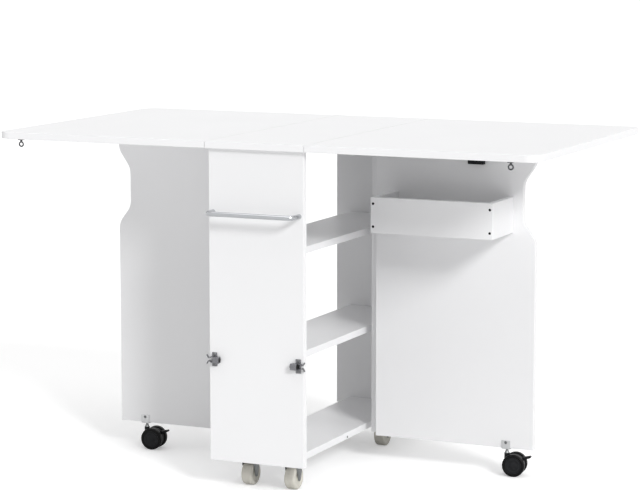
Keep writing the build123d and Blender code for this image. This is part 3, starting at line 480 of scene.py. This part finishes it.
def cross_screw(bm: BMesh, place: Matrix, radius: float, rise: float, sink: float) -> None:
    """Add a screw head with a cross recess and the first stretch of its shank.

    Args:
        bm: mesh being built.
        place: seat of the head, looking out along its own Z.
        radius: head's radius at its widest.
        rise: how far a round head stands out, or 0 for a countersunk one.
        sink: depth of the cone below a countersunk head.
    """
    arm, half = CROSS_ARM * radius, CROSS_HALF * radius

    def make() -> None:
        """Make the head, its cross recess and its shank about the origin."""
        grid = bmesh.ops.create_grid(bm, x_segments=3, y_segments=3, size=arm)["verts"]
        # The grid's two inner lines each way close in to the width of the cross
        for vert in grid:
            for axis in (0, 1):
                if abs(vert.co[axis]) < arm / 2:
                    vert.co[axis] = math.copysign(half, vert.co[axis])
        faces = faces_at(grid)
        rim = unique(e for f in faces for e in f.edges if e.is_boundary)
        top = Matrix.Translation((0, 0, -CROWN_DROP * rise))
        ring = bmesh.ops.create_circle(bm, cap_ends=False, radius=radius * (PAN_CROWN if rise else 1.0),
                                       segments=DISC_STEPS, matrix=top)["verts"]
        edges = edges_at(ring)
        bmesh.ops.bridge_loops(bm, edges=rim + edges)
        cross = [f for f in faces if min(abs(f.calc_center_median().x), abs(f.calc_center_median().y)) < half]
        sunk = bmesh.ops.extrude_face_region(bm, geom=cross)["geom"]
        bottom = only(BMVert, sunk)
        bmesh.ops.delete(bm, geom=cross, context="FACES_ONLY")
        bmesh.ops.translate(bm, vec=(0, 0, -CROSS_DEPTH * radius), verts=bottom)
        bmesh.ops.scale(bm, vec=(CROSS_TAPER, CROSS_TAPER, 1), verts=bottom)
        # Each step is a share of the ring before it, and a drop: rim, shank and shank's end
        to_rim = (1 / PAN_CROWN, (CROWN_DROP - 1) * rise)
        steps = [to_rim, (PAN_SHANK, 0.0)] if rise else [(FLUSH_SHANK, -sink)]
        for share, drop in steps + [(1.0, -SHANK_LENGTH)]:
            verts, edges = grow(bm, edges)
            bmesh.ops.scale(bm, vec=(share, share, 1), verts=verts)
            bmesh.ops.translate(bm, vec=(0, 0, drop), verts=verts)
        bmesh.ops.holes_fill(bm, edges=edges, sides=0)
    shaped(bm, make, place @ Matrix.Translation((0, 0, rise)))


def looking(point: Sequence[float], way: Sequence[float]) -> Matrix:
    """Place at a point whose own Z looks a given way."""
    return Matrix.Translation(point) @ Vector(way).to_track_quat("Z", "Y").to_matrix().to_4x4()


def put_in_scene(name: str, data: bpy.types.ID) -> bpy.types.Object:
    """Make an object and link it into the scene.

    Args:
        name: name of the object.
        data: its mesh, light or camera.

    Returns:
        The new object.
    """
    made = bpy.data.objects.new(name, data)
    bpy.context.scene.collection.objects.link(made)
    return made


def finished(name: str, bm: BMesh, finishes: Sequence[Finish], body: str,
             stands_for: Iterable[str] = (),
             place: Matrix = Matrix.Identity(4)) -> None:
    """Turn a bmesh drawn in millimetres into a piece that rides on a body.

    Args:
        name: name of the piece.
        bm: mesh in the part's drawing, used up here.
        finishes: finishes by material number.
        body: CAD body that carries the piece.
        stands_for: CAD nodes that the piece replaces.
        place: move to make before the drawing is set in the frame.
    """
    to_frame = Matrix.Scale(MM, 4) @ Matrix.Translation((0, FRAME_SHIFT, 0)) @ place
    bmesh.ops.remove_doubles(bm, verts=bm.verts, dist=MERGE)
    bmesh.ops.transform(bm, matrix=to_frame, verts=bm.verts)
    bmesh.ops.recalc_face_normals(bm, faces=bm.faces)
    mesh = bpy.data.meshes.new(name)
    bm.to_mesh(mesh)
    bm.free()
    mesh.shade_smooth()
    mesh.set_sharp_from_angle(angle=SHARP)
    piece = put_in_scene(name, mesh)
    for finish in finishes:
        mesh.materials.append(material_of(finish))
    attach(piece, body)
    if stands_for:
        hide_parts(*stands_for)
    log.info("%s: %d faces on %s", name, len(mesh.polygons), body)


def dress(node: str, finish: Finish) -> None:
    """Give a carried-over CAD node its finish.

    Args:
        node: name of the node.
        finish: finish for all its material slots.
    """
    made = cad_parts[node]
    if not made.data.materials:
        made.data.materials.append(None)
    for slot in made.material_slots:
        slot.link = "OBJECT"
        slot.material = material_of(finish)
    log.info("%s: dressed as %s", node, finish.name)


# Sub-assemblies

@dataclass
class Boards:
    """Every melamine board, by the axis that its broad faces look along."""

    level: tuple[str, ...] = ("centre_top", "right_leaf", "left_leaf", "bottom_shelf", "middle_shelf",
                              "upper_shelf", "tray_base")
    facing_front: tuple[str, ...] = ("front_panel", "rear_panel", "right_gate", "left_gate", "tray_front")
    facing_side: tuple[str, ...] = ("right_side_panel", "left_side_panel", "tray_ends")

    def dress(self) -> None:
        """Give each board its melamine."""
        for axis, nodes in ((Face.Z, self.level), (Face.Y, self.facing_front), (Face.X, self.facing_side)):
            for node in nodes:
                dress(node, MELAMINE[axis])


@dataclass
class PlainHardware:
    """Carried-over metal and hidden pieces whose CAD shape is already right."""

    zinc: tuple[str, ...] = ("leaf_hinge_fixed_plates", "gate_hinge_fixed_plates", "hinge_pins",
                             "catch_angles", "right_leaf_hinge_plates", "left_leaf_hinge_plates",
                             "right_gate_hinge_plates", "left_gate_hinge_plates", "right_caster_pins",
                             "left_caster_pins")
    hoods: tuple[str, ...] = ("right_caster_body", "left_caster_body")

    def dress(self) -> None:
        """Give each piece its finish."""
        for node in self.zinc:
            dress(node, ZINC)
        for node in self.hoods:
            dress(node, POLYPROPYLENE)
        dress("cabinet_dowels", BEECH)
        dress("clip_cores", RUBBER)


@dataclass
class TowelBar:
    """Chromium-plated bar that bends back to the front panel at both ends."""

    radius: float = 5.25
    foot_x: float = 100.0
    height: float = 600.0
    stand_off: float = 35.0
    bend: float = 16.0

    def build(self) -> None:
        """Make the bar from one bent tube."""
        bm = bmesh.new()
        straight = self.stand_off - self.bend
        across = 2 * (self.foot_x - self.bend)
        legs = [(straight, 90), (across, 90), (straight, 0)]
        # The tube's own Z leaves the panel towards the front, and its X runs to the right
        start = Matrix(((1, 0, 0, -self.foot_x), (0, 0, -1, CABINET_FRONT), (0, 1, 0, self.height),
                        (0, 0, 0, 1)))
        tube(bm, self.radius, legs, self.bend, start)
        finished("towel_bar_tube", bm, [CHROME], "cabinet", ["towel_bar"])


@dataclass
class SpringClip:
    """Stamped clip on the front panel: a base plate, a housing and two flared prongs."""

    x: float = CLIP_X
    z: float = CLIP_Z
    base: tuple[float, float, float] = (12.0, 30.0, 1.5)
    housing: tuple[float, float, float] = (15.0, 14.0, 12.0)
    housing_inset: float = 5.7
    base_edge: float = 0.5
    housing_edge: float = 1.6
    prong_edge: float = 0.3
    prong_width: float = 6.0
    prong_thickness: float = 2.2
    prong_line: tuple[tuple[float, float], ...] = ((-8.0, 5.9), (-1.4, 6.2), (0.2, 5.6), (2.5, 4.4),
                                                   (4.3, 3.4), (5.2, 3.15), (6.1, 3.5), (7.3, 4.4),
                                                   (8.1, 5.2), (10.2, 9.3))

    def build(self, side: Side) -> None:
        """Make the clip on one side.

        Args:
            side: side of the front panel.
        """
        bm = bmesh.new()
        width, height, thick = self.base
        end = self.x + width / 2
        face = CABINET_FRONT - thick
        soft_box(bm, (end - width, face, self.z - height / 2),
                 (end, CABINET_FRONT, self.z + height / 2), self.base_edge)
        long, tall, deep = self.housing
        stop = end - self.housing_inset
        soft_box(bm, (stop - long, face - deep, self.z - tall / 2),
                 (stop, face, self.z + tall / 2), self.housing_edge, 4)
        for up in (1, -1):
            self.prong(bm, end, face, up)
        word = side.word
        finished(f"{word}_clip_stamping", bm, [NICKEL], "cabinet", [f"{word}_clip"],
                 side.mirror)

    def prong(self, bm: BMesh, end: float, face: float, up: int) -> None:
        """Add one prong by extruding its section along its line.

        Args:
            bm: mesh being built.
            end: X of the base's outer edge.
            face: Y of the base's front.
            up: 1 for the upper prong and -1 for the lower.
        """
        line = [Vector((end + along, face - self.prong_width / 2, self.z + up * rise))
                for along, rise in self.prong_line]
        start = Matrix.Translation(line[0]) @ Matrix.Rotation(math.pi / 2, 4, "Y") @ Matrix.Diagonal(
            (self.prong_thickness, self.prong_width, 1, 1))
        before = set(bm.verts)
        section = bmesh.ops.create_grid(bm, x_segments=1, y_segments=1, size=0.5, matrix=start)["verts"]
        faces = faces_at(section)
        for here, there in zip(line, line[1:]):
            grown = bmesh.ops.extrude_face_region(bm, geom=faces)["geom"]
            if here is not line[0]:
                bmesh.ops.delete(bm, geom=faces, context="FACES_ONLY")
            faces = only(BMFace, grown)
            bmesh.ops.translate(bm, vec=there - here, verts=only(BMVert, grown))
        made = new_verts(bm, before)
        bmesh.ops.remove_doubles(bm, verts=made, dist=NEAR)
        edges = [e for e in edges_at(v for v in made if v.is_valid) if e.calc_face_angle(0) > CORNER]
        round_edges(bm, edges, self.prong_edge, 2)


@dataclass
class EyeStrike:
    """Screw eye under a leaf, with a square plate, a neck and a ring."""

    x: float = 565.3
    y: float = -344.0
    plate: float = 11.0
    plate_thickness: float = 1.5
    drop: float = 17.0
    ring: float = 6.5
    wire: float = 1.6
    neck: float = 2.4
    neck_ends: tuple[float, float] = (1.6, 0.8)
    neck_foot: float = 0.7
    collar: float = 0.9
    plate_edge: float = 0.4

    def build(self, side: Side) -> None:
        """Make the strike under one leaf.

        Args:
            side: side of the leaf.
        """
        bm = bmesh.new()
        half = self.plate / 2
        soft_box(bm, (self.x - half, self.y - half, TOP - self.plate_thickness),
                 (self.x + half, self.y + half, TOP), self.plate_edge)
        middle = TOP - self.drop + self.ring
        top = TOP - self.plate_thickness
        foot = middle + self.ring - 2 * self.wire
        low, high = self.neck_ends
        lathe(bm, [(0, foot), (self.neck * self.neck_foot, foot), (self.neck, foot + low),
                   (self.neck, top - high), (self.neck + self.collar, top), (0, top)],
              Matrix.Translation((self.x, self.y, 0)), 24)
        hole = self.ring - self.wire
        sides = 16
        circle = [(hole + self.wire * math.cos(a), self.wire * math.sin(a))
                  for a in (math.tau * i / sides for i in range(sides + 1))]
        lathe(bm, circle, looking((self.x, self.y, middle), (0, 1, 0)), 40)
        word = side.word
        finished(f"{word}_eye_strike", bm, [OXIDE_WIRE], f"{word}_leaf_assembly", [f"{word}_strike"],
                 side.mirror)


@dataclass
class Screws:
    """Every screw head, with its cross recess, by the node that it stands for."""

    head: float = 2.9
    sink: float = 1.2
    pan_head: float = 3.4
    pan_rise: float = 1.8
    leaf_hinge_y: tuple[float, ...] = (-250.0, 0.0, 250.0)
    leaf_pin_x: float = 115.0
    leaf_screw_x: float = 15.6
    leaf_hinge: float = 50.0
    gate_hinge_z: tuple[float, ...] = (140.0, 396.0, 652.0)
    gate_hinge: float = 60.0
    gate_screw: float = 9.0
    cabinet_side: float = 110.0
    plate: float = 1.2
    clip: tuple[float, float, float] = (CLIP_X, CLIP_Z, 11.0)
    clip_plate: float = 1.5
    angle: tuple[float, float, float] = (69.6, -185.0, 5.0)
    angle_plate: float = 1.5
    fork_screw: tuple[float, float] = (8.0, 18.0)
    fork_seat: float = 63.5
    edge_screw: tuple[float, float, float] = (77.0, -37.0, 69.5)
    catch_middle: float = 351.3
    catch_screw_step: float = 13.0
    catch_z: float = 706.0
    bracket_z: float = 74.1
    bracket_plate: float = 2.0
    tray_x: tuple[float, float] = (161.05, 429.05)
    tray_front: float = -92.8
    tray_z: tuple[float, float] = (552.5, 602.5)

    def flush(self, bm: BMesh, places: Iterable[Matrix]) -> None:
        """Add countersunk heads."""
        for place in places:
            cross_screw(bm, place, self.head, 0.0, self.sink)

    def pan(self, bm: BMesh, places: Iterable[Matrix]) -> None:
        """Add round heads."""
        for place in places:
            cross_screw(bm, place, self.pan_head, self.pan_rise, 0.0)

    def leaf_places(self, way: int) -> list[Matrix]:
        """Find the seats in the right-hand leaf hinges.

        Args:
            way: 1 for the leaf and -1 for the centre board.

        Returns:
            A place for each screw.
        """
        x = self.leaf_pin_x + way * self.leaf_screw_x
        step = self.leaf_hinge / 4
        return [looking((x, y + s, TOP - self.plate), (0, 0, -1))
                for y in self.leaf_hinge_y for s in (-step, step)]

    def gate_places(self, fixed: bool) -> list[Matrix]:
        """Find the seats in the right-hand gate hinges.

        Args:
            fixed: true for the side panel's outer face, and false for the gate's.

        Returns:
            A place for each screw.
        """
        step = self.gate_hinge / 3
        x, y = GATE_PIN
        if fixed:
            spot, way = (self.cabinet_side + self.plate, y + self.gate_screw), (1, 0, 0)
        else:
            spot, way = (x + self.gate_screw, GATE_REAR + self.plate), (0, 1, 0)
        return [looking((*spot, z + s), way) for z in self.gate_hinge_z for s in (-step, step)]

    def build_cabinet(self) -> None:
        """Make the cabinet's screws."""
        bm = bmesh.new()
        x, y, step = self.angle
        flush = self.leaf_places(-1) + self.gate_places(True)
        pan = [looking((x, y + s, TOP - self.angle_plate), (0, 0, -1)) for s in (-step, step)]
        flush += [HALF_TURN @ p for p in flush]
        pan += [HALF_TURN @ p for p in pan]
        x, z, step = self.clip
        pan += [looking((sx * x, CABINET_FRONT - self.clip_plate, z + s), (0, -1, 0))
                for sx in (-1, 1) for s in (-step, step)]
        dx, dy = self.fork_screw
        pan += [looking((side * x + sx * dx, y + sy * dy, self.fork_seat), (0, 0, -1))
                for x, y in FIXED_CASTERS.values() for side in (-1, 1) for sx in (-1, 1) for sy in (-1, 1)]
        self.flush(bm, flush + [looking(self.edge_screw, (1, 0, 0))])
        self.pan(bm, pan)
        finished("cabinet_screw_heads", bm, [SCREW_ZINC], "cabinet", ["cabinet_screws"])

    def build_leaf(self, side: Side) -> None:
        """Make one leaf's screws.

        Args:
            side: side of the leaf.
        """
        bm = bmesh.new()
        self.flush(bm, self.leaf_places(1))
        word = side.word
        finished(f"{word}_leaf_screw_heads", bm, [SCREW_ZINC], f"{word}_leaf_assembly",
                 [f"{word}_leaf_screws"], side.mirror)

    def build_gate(self, side: Side) -> None:
        """Make one gate's screws.

        Args:
            side: side of the gate.
        """
        bm = bmesh.new()
        flush = self.gate_places(False)
        face = GATE_FRONT - CATCH_DEPTH
        flush += [looking((self.catch_middle + s, face, self.catch_z), (0, -1, 0))
                  for s in (-self.catch_screw_step, self.catch_screw_step)]
        self.flush(bm, [side.turn @ p for p in flush])
        seat = (side.value * SWIVEL_X, side.gate_face - self.bracket_plate, self.bracket_z)
        self.pan(bm, [looking(seat, (0, -1, 0))])
        word = side.word
        finished(f"{word}_gate_screw_heads", bm, [SCREW_ZINC], f"{word}_gate_assembly",
                 [f"{word}_gate_screws"])

    def build_tray(self) -> None:
        """Make the tray's black screws, four in its front and four through the gate."""
        bm = bmesh.new()
        spots = [((x, self.tray_front, z), (0, -1, 0)) for x in self.tray_x for z in self.tray_z]
        spots += [((x, GATE_REAR, z), (0, 1, 0)) for x in self.tray_x for z in self.tray_z]
        self.flush(bm, [looking(point, way) for point, way in spots])
        finished("tray_screw_heads", bm, [BLACK_OXIDE], "right_gate_assembly", ["tray_screws"])


@dataclass
class GateFittings:
    """Magnetic catch and nylon glide on a gate."""

    catch_x: tuple[float, float] = (333.05, 369.55)
    catch_edge: float = 1.2
    catch_z: tuple[float, float] = (684.5, 727.5)
    pole: tuple[float, float] = (22.0, 2.0)
    pole_drops: tuple[float, float] = (4.0, 9.0)
    pole_proud: float = 0.15
    pole_depth: float = 1.0
    pole_edge: float = 0.1
    glide_x: float = 462.05
    glide_radius: float = 5.0
    glide_height: float = 4.0
    stem: tuple[float, float] = (2.0, 8.0)

    def build(self, side: Side) -> None:
        """Make the fittings on one gate.

        Args:
            side: side of the gate.
        """
        word = side.word
        body = f"{word}_gate_assembly"
        bm = bmesh.new()
        front = GATE_FRONT - CATCH_DEPTH
        low, high = self.catch_x
        bottom, top = self.catch_z
        soft_box(bm, (low, front, bottom), (high, GATE_FRONT, top), self.catch_edge, 4)
        finished(f"{word}_catch_block", bm, [POLYPROPYLENE], body, [f"{word}_gate_catch"],
                 side.turn)
        bm = bmesh.new()
        length, height = self.pole
        middle = (low + high) / 2
        for z in (top - drop for drop in self.pole_drops):
            soft_box(bm, (middle - length / 2, front - self.pole_proud, z - height / 2),
                     (middle + length / 2, front + self.pole_depth, z + height / 2), self.pole_edge, 2)
        finished(f"{word}_catch_poles", bm, [ZINC], body, (), side.turn)
        bm = bmesh.new()
        radius, height = self.glide_radius, self.glide_height
        stem, depth = self.stem
        profile = [(0, -depth), (stem, -depth), (stem, 0), (radius - 0.4, 0), (radius, 0.5),
                   (radius, height - 1.6), (radius - 0.6, height - 0.6), (radius - 1.9, height - 0.1),
                   (0, height)]
        middle_y = (GATE_FRONT + GATE_REAR) / 2
        lathe(bm, profile, Matrix.Translation((self.glide_x, middle_y, GATE_TOP)), 32)
        finished(f"{word}_glide_button", bm, [NATURAL_NYLON], body, [f"{word}_gate_glide"],
                 side.turn)


@dataclass
class SwivelCaster:
    """Twin-wheel caster under a gate: bent bracket, two wheels and a brake lever."""

    yaw: dict[Side, float] = field(default_factory=lambda: {Side.RIGHT: 7.0, Side.LEFT: 4.0})
    floor_gap: float = 61.5
    bracket: tuple[float, float, float, float] = (20.0, 17.0, 2.0, 14.0)
    bracket_corner: float = 4.0
    bracket_edge: float = 0.5
    trail: float = 17.5
    wheel: float = 25.0
    wheel_width: float = 12.5
    wheel_start: float = 7.9
    lever_pivot: tuple[float, float] = (29.0, 37.0)
    lever_tip: tuple[float, float] = (52.0, 43.5)
    lever_radii: tuple[float, float] = (3.6, 2.2)
    lever_width: float = 9.6
    lever_edge: float = 0.5
    rib_shares: tuple[float, ...] = (0.62, 0.78, 0.94)
    rib_half: tuple[float, float, float] = (0.45, 3.6, 0.3)
    rib_sink: float = 0.1
    rib_edge: float = 0.15

    def own_frame(self, side: Side) -> Matrix:
        """Caster's own frame: origin on the floor under its stem, X towards its wheels."""
        spot = Matrix.Translation((side.value * SWIVEL_X, side.gate_face + BOARD / 2, 0))
        return spot @ Matrix.Rotation(math.radians(self.yaw[side]), 4, "Z")

    def build(self, side: Side) -> None:
        """Make the caster under one gate.

        Args:
            side: side of the gate.
        """
        self.build_bracket(side)
        for word, way in (("front", -1), ("back", 1)):
            self.build_wheel(side, word, way)
        self.build_lever(side)

    def build_bracket(self, side: Side) -> None:
        """Make the bent steel bracket, without its screw hole, which the screw's head covers.

        Args:
            side: side of the gate.
        """
        width, height, thick, reach = self.bracket
        middle, face, low = side.value * SWIVEL_X, side.gate_face, self.floor_gap
        bm = bmesh.new()
        soft_box(bm, (middle - width / 2, face - thick, low - thick),
                 (middle + width / 2, face, low + height), self.bracket_edge)
        size = Matrix.Diagonal((width, reach + thick / 2, thick, 1.0))
        matrix = Matrix.Translation((middle, face + (reach - thick / 2) / 2, low - thick / 2)) @ size
        foot = bmesh.ops.create_cube(bm, size=1.0, matrix=matrix)["verts"]
        corners = [e for e in edges_at(foot) if abs(e.verts[0].co.z - e.verts[1].co.z) > thick / 2
                   and e.verts[0].co.y > face + reach / 2]
        round_edges(bm, corners, self.bracket_corner, 8, clamp=False)
        word = side.word
        # The bracket gets the lighter zinc copy, whose brightness is painted light
        finished(f"{word}_bracket_plate", bm, [LIT_BRACKET_ZINC], f"{word}_gate_assembly",
                 [f"{word}_caster_bracket"])

    def build_wheel(self, side: Side, word: str, way: int) -> None:
        """Make one wheel: a black tread with a groove round it and a greyer hub cap with a raised ring.

        Args:
            side: side of the gate.
            word: front or back.
            way: -1 for the front wheel and 1 for the back one.
        """
        r, w = self.wheel, self.wheel_width
        seam = (18.0, w - 1.1)
        tread = [(0, 0.6), (3.05, 0.6), (3.05, 0), (r - 2.4, 0), (r - 1.0, 0.35), (r - 0.2, 1.5), (r, 2.6),
                 (r, w * 0.46), (r - 0.5, w * 0.49), (r - 0.5, w * 0.53), (r, w * 0.56), (r, w - 3.0),
                 (r - 0.3, w - 1.7), (r - 1.1, w - 0.6), (r - 2.2, w - 0.1), (r - 3.4, w), (19.6, w),
                 (18.6, w - 0.2), seam]
        cap = [seam, (15.4, w - 1.2), (14.9, w - 0.9), (14.2, w - 0.7), (13.4, w - 0.9),
               (12.9, w - 1.2), (8.4, w - 1.2), (7.9, w - 0.9), (6.0, w - 0.25), (3.5, w - 0.1),
               (0, w - 0.05)]
        axis = looking((self.trail, way * self.wheel_start, self.wheel), (0, way, 0))
        bm = bmesh.new()
        lathe(bm, tread, axis, 64)
        lathe(bm, cap, axis, 64, 1)
        name = f"{side.word}_caster_{word}"
        finished(f"{name}_tread", bm, [NYLON_TREAD, POLYPROPYLENE], f"{name}_roller", [f"{name}_wheel"],
                 self.own_frame(side))

    def build_lever(self, side: Side) -> None:
        """Make the brake lever with grip ribs near its tip.

        Args:
            side: side of the gate.
        """
        (px, pz), (tx, tz) = self.lever_pivot, self.lever_tip
        root, tip = self.lever_radii
        bm = bmesh.new()
        hull(bm, [(px, pz, root), (tx, tz, tip)], self.lever_width, Matrix.Identity(4), self.lever_edge)
        along = Vector((tx - px, 0, tz - pz))
        normal = Vector((-along.z, 0, along.x)).normalized()
        turn = Matrix.Rotation(-math.atan2(along.z, along.x), 4, "Y")
        low = [-half for half in self.rib_half]
        for share in self.rib_shares:
            height = root + (tip - root) * share - self.rib_sink
            at = Vector((px, 0, pz)) + along * share + normal * height
            shaped(bm, lambda: soft_box(bm, low, self.rib_half, self.rib_edge, 2),
                   Matrix.Translation(at) @ turn)
        word = side.word
        finished(f"{word}_lever_tab", bm, [POLYPROPYLENE], f"{word}_brake_lever", [f"{word}_caster_lever"],
                 self.own_frame(side))


@dataclass
class FixedCasters:
    """Broad nylon wheels in pressed forks under the bottom shelf."""

    wheel: float = 25.0
    width: float = 25.0
    shoulder: float = 4.0
    recess: tuple[float, float] = (17.0, 2.0)
    hub: float = 7.0
    fork_gap: float = 0.6
    fork_plate: float = 1.5
    fork_length: float = 48.0
    fork_top: float = 65.0
    plate_edge: float = 0.4
    leg_edge: float = 0.35
    rib_edge: float = 0.4
    leg: tuple[tuple[float, float, float], ...] = ((0.0, 25.0, 7.0), (-16.0, 59.3, 1.0), (16.0, 59.3, 1.0),
                                                   (-16.0, 63.0, 1.0), (16.0, 63.0, 1.0))
    rib: tuple[tuple[float, float, float], ...] = ((0.0, 27.0, 3.2), (-10.5, 58.5, 1.2), (10.5, 58.5, 1.2))
    rib_rise: float = 0.45
    rivet: tuple[float, float] = (4.5, 0.6)
    axle: float = 3.0
    bore_room: float = 0.05

    def build(self) -> None:
        """Make the four wheels, their forks and their rivets."""
        rivets, forks = bmesh.new(), bmesh.new()
        outer = self.width / 2 + self.fork_gap + self.fork_plate
        head, rise = self.rivet
        # One end of a rivet, from the middle of its head to its shank
        end_form = [(0, outer + rise), (head * 0.55, outer + rise), (head * 0.85, outer + rise * 0.6),
                    (head, outer), (self.axle, outer)]
        profile = [(a, -b) for a, b in end_form] + end_form[::-1]
        for end, (x, y) in FIXED_CASTERS.items():
            for side in Side:
                middle = (side.value * x, y, self.wheel)
                self.build_wheel(f"{end}_{side.word}", middle)
                self.add_fork(forks, side.value * x, y)
                lathe(rivets, profile, looking(middle, (1, 0, 0)), 24)
        finished("fixed_caster_rivets", rivets, [ZINC], "cabinet", ["fixed_caster_axles"])
        # The forks get the darker zinc copy, whose darkness is painted shade
        finished("fixed_caster_stampings", forks, [ZINC], "cabinet", ["fixed_caster_forks"])

    def add_fork(self, bm: BMesh, x: float, y: float) -> None:
        """Add one pressed fork: a plate and two tapering legs with an embossed rib on the outside.

        Args:
            bm: mesh being built.
            x: X of the wheel's middle.
            y: Y of the wheel's middle.
        """
        inner, thick = self.width / 2 + self.fork_gap, self.fork_plate
        outer, half = inner + thick, self.fork_length / 2
        soft_box(bm, (x - outer, y - half, self.fork_top - thick),
                 (x + outer, y + half, self.fork_top), self.plate_edge)
        turn = Matrix.Rotation(math.pi / 2, 4, "Z")
        for discs, width, edge in ((self.leg, thick, self.leg_edge),
                                   (self.rib, thick + self.rib_rise, self.rib_edge)):
            for way in (-1, 1):
                shift = Matrix.Translation((x + way * (inner + width / 2), y, 0))
                hull(bm, discs, width, shift @ turn, edge)

    def build_wheel(self, name: str, middle: tuple[float, float, float]) -> None:
        """Make one wheel with round shoulders, a ring recess and a hub on each face.

        Args:
            name: end and side of the wheel.
            middle: its centre.
        """
        half, r, s = self.width / 2, self.wheel, self.shoulder
        deep_r, deep = self.recess
        quarter = [math.radians(a) for a in range(0, 91, 15)]
        bore = self.axle + self.bore_room
        side = [(bore, half), (self.hub - 0.5, half), (self.hub, half - 0.5), (self.hub + 0.4, half - deep),
                (deep_r - 1.2, half - deep), (deep_r, half - 0.6), (deep_r + 0.5, half)]
        side += [(r - s + s * math.sin(a), half - s + s * math.cos(a)) for a in quarter]
        crown = [(r, 0.5), (r - 0.12, 0.0)]
        profile = side + crown + [(a, -b) for a, b in reversed(side + crown[:1])] + [(bore, half)]
        bm = bmesh.new()
        lathe(bm, profile, looking(middle, (1, 0, 0)), 64)
        finished(f"{name}_nylon_wheel", bm, [NATURAL_NYLON], f"{name}_roller", [f"{name}_wheel"])


@dataclass
class Studio:
    """Camera of the photograph's view, two soft suns, pale floor and white background."""

    camera_at: tuple[float, float, float] = (2173.9, -4813.7, 1236.3)
    azimuth: float = 24.37
    elevation: float = 8.03
    lens: float = 134.8
    sensor: float = 36.0
    clip: tuple[float, float] = (0.1, 100.0)
    sky: float = 0.4
    key_from: tuple[float, float, float] = (1.0, -0.8, 0.72)
    key_spread: float = 14.0
    key_strength: float = 1.75
    top_from: tuple[float, float, float] = (0.1, -0.1, 1.0)
    top_spread: float = 70.0
    top_strength: float = 1.0
    floor_white: str = "F6F6F6"
    floor_lift: float = 0.3
    floor_roughness: float = 0.9
    floor_size: float = 60.0

    def build(self) -> None:
        """Set up the view, the light and the floor."""
        self.build_camera()
        self.build_world()
        self.build_floor()
        self.lamp("key", self.key_from, self.key_spread, self.key_strength)
        self.lamp("top", self.top_from, self.top_spread, self.top_strength)
        bpy.context.scene.view_settings.view_transform = "Standard"

    def build_camera(self) -> None:
        """Place the camera as the photograph's perspective says."""
        data = bpy.data.cameras.new("view")
        data.lens = self.lens
        data.sensor_width = self.sensor
        data.clip_start, data.clip_end = self.clip
        camera = put_in_scene("view", data)
        a, e = math.radians(self.azimuth), math.radians(self.elevation)
        back = Vector((math.sin(a) * math.cos(e), -math.cos(a) * math.cos(e), math.sin(e)))
        x, y, z = self.camera_at
        camera.location = Vector((x, y + FRAME_SHIFT, z)) * MM
        camera.rotation_mode = "QUATERNION"
        camera.rotation_quaternion = (-back).to_track_quat("-Z", "Y")
        bpy.context.scene.camera = camera

    def build_world(self) -> None:
        """Soft sky for the light, and plain white where the camera or a mirror sees it."""
        world = bpy.data.worlds.new("studio")
        bpy.context.scene.world = world
        world.use_nodes = True
        tree = world.node_tree
        background = tree.nodes["Background"]
        paths = add_node(tree, "ShaderNodeLightPath")
        seen = paths.outputs["Is Camera Ray"]
        for ray in ("Is Glossy Ray", "Is Transmission Ray"):
            seen = add_node(tree, "ShaderNodeMath", {"operation": "MAXIMUM"}, {
                0: seen, 1: paths.outputs[ray]}).outputs["Value"]
        strength = add_node(tree, "ShaderNodeMapRange", {}, {
            "Value": seen, "To Min": self.sky, "To Max": 1.0})
        background.inputs["Color"].default_value = (1, 1, 1, 1)
        tree.links.new(strength.outputs["Result"], background.inputs["Strength"])

    def build_floor(self) -> None:
        """Pale floor that keeps the table's shadow and meets the background without a line.

        Seen from below it is clear, so that the table's underside can be looked at.
        """
        bm = bmesh.new()
        bmesh.ops.create_grid(bm, x_segments=8, y_segments=8, size=self.floor_size / 2)
        mesh = bpy.data.meshes.new("studio_floor")
        bm.to_mesh(mesh)
        bm.free()
        floor = put_in_scene("studio_floor", mesh)
        material = bpy.data.materials.new("studio_floor_paint")
        material.use_nodes = True
        tree = material.node_tree
        shader = tree.nodes["Principled BSDF"]
        shader.inputs["Base Color"].default_value = linear(self.floor_white)
        shader.inputs["Roughness"].default_value = self.floor_roughness
        paths = add_node(tree, "ShaderNodeLightPath")
        lift = add_node(tree, "ShaderNodeMapRange", {}, {
            "Value": paths.outputs["Is Camera Ray"], "To Min": 0.0, "To Max": self.floor_lift})
        shader.inputs["Emission Color"].default_value = (1, 1, 1, 1)
        tree.links.new(lift.outputs["Result"], shader.inputs["Emission Strength"])
        below = add_node(tree, "ShaderNodeNewGeometry").outputs["Backfacing"]
        above = add_node(tree, "ShaderNodeMath", {"operation": "SUBTRACT"}, {0: 1.0, 1: below})
        tree.links.new(above.outputs["Value"], shader.inputs["Alpha"])
        mesh.materials.append(material)

    def lamp(self, name: str, way: tuple[float, float, float], spread: float, strength: float) -> None:
        """Add a soft light that is even over the whole floor, so that no edge of it shows.

        Args:
            name: name of the light.
            way: where it comes from.
            spread: its width in degrees as seen from the table.
            strength: its strength in watts per square metre.
        """
        data = bpy.data.lights.new(name, "SUN")
        data.angle = math.radians(spread)
        data.energy = strength
        made = put_in_scene(name, data)
        made.location = way
        made.rotation_mode = "QUATERNION"
        made.rotation_quaternion = (-Vector(way)).to_track_quat("-Z", "Y")


def main() -> None:
    """Build and dress every sub-assembly, then the studio."""
    Boards().dress()
    PlainHardware().dress()
    TowelBar().build()
    screws = Screws()
    screws.build_cabinet()
    screws.build_tray()
    for side in Side:
        SpringClip().build(side)
        EyeStrike().build(side)
        screws.build_leaf(side)
        screws.build_gate(side)
        GateFittings().build(side)
        SwivelCaster().build(side)
    FixedCasters().build()
    Studio().build()


if __name__ == "__main__":
    main()
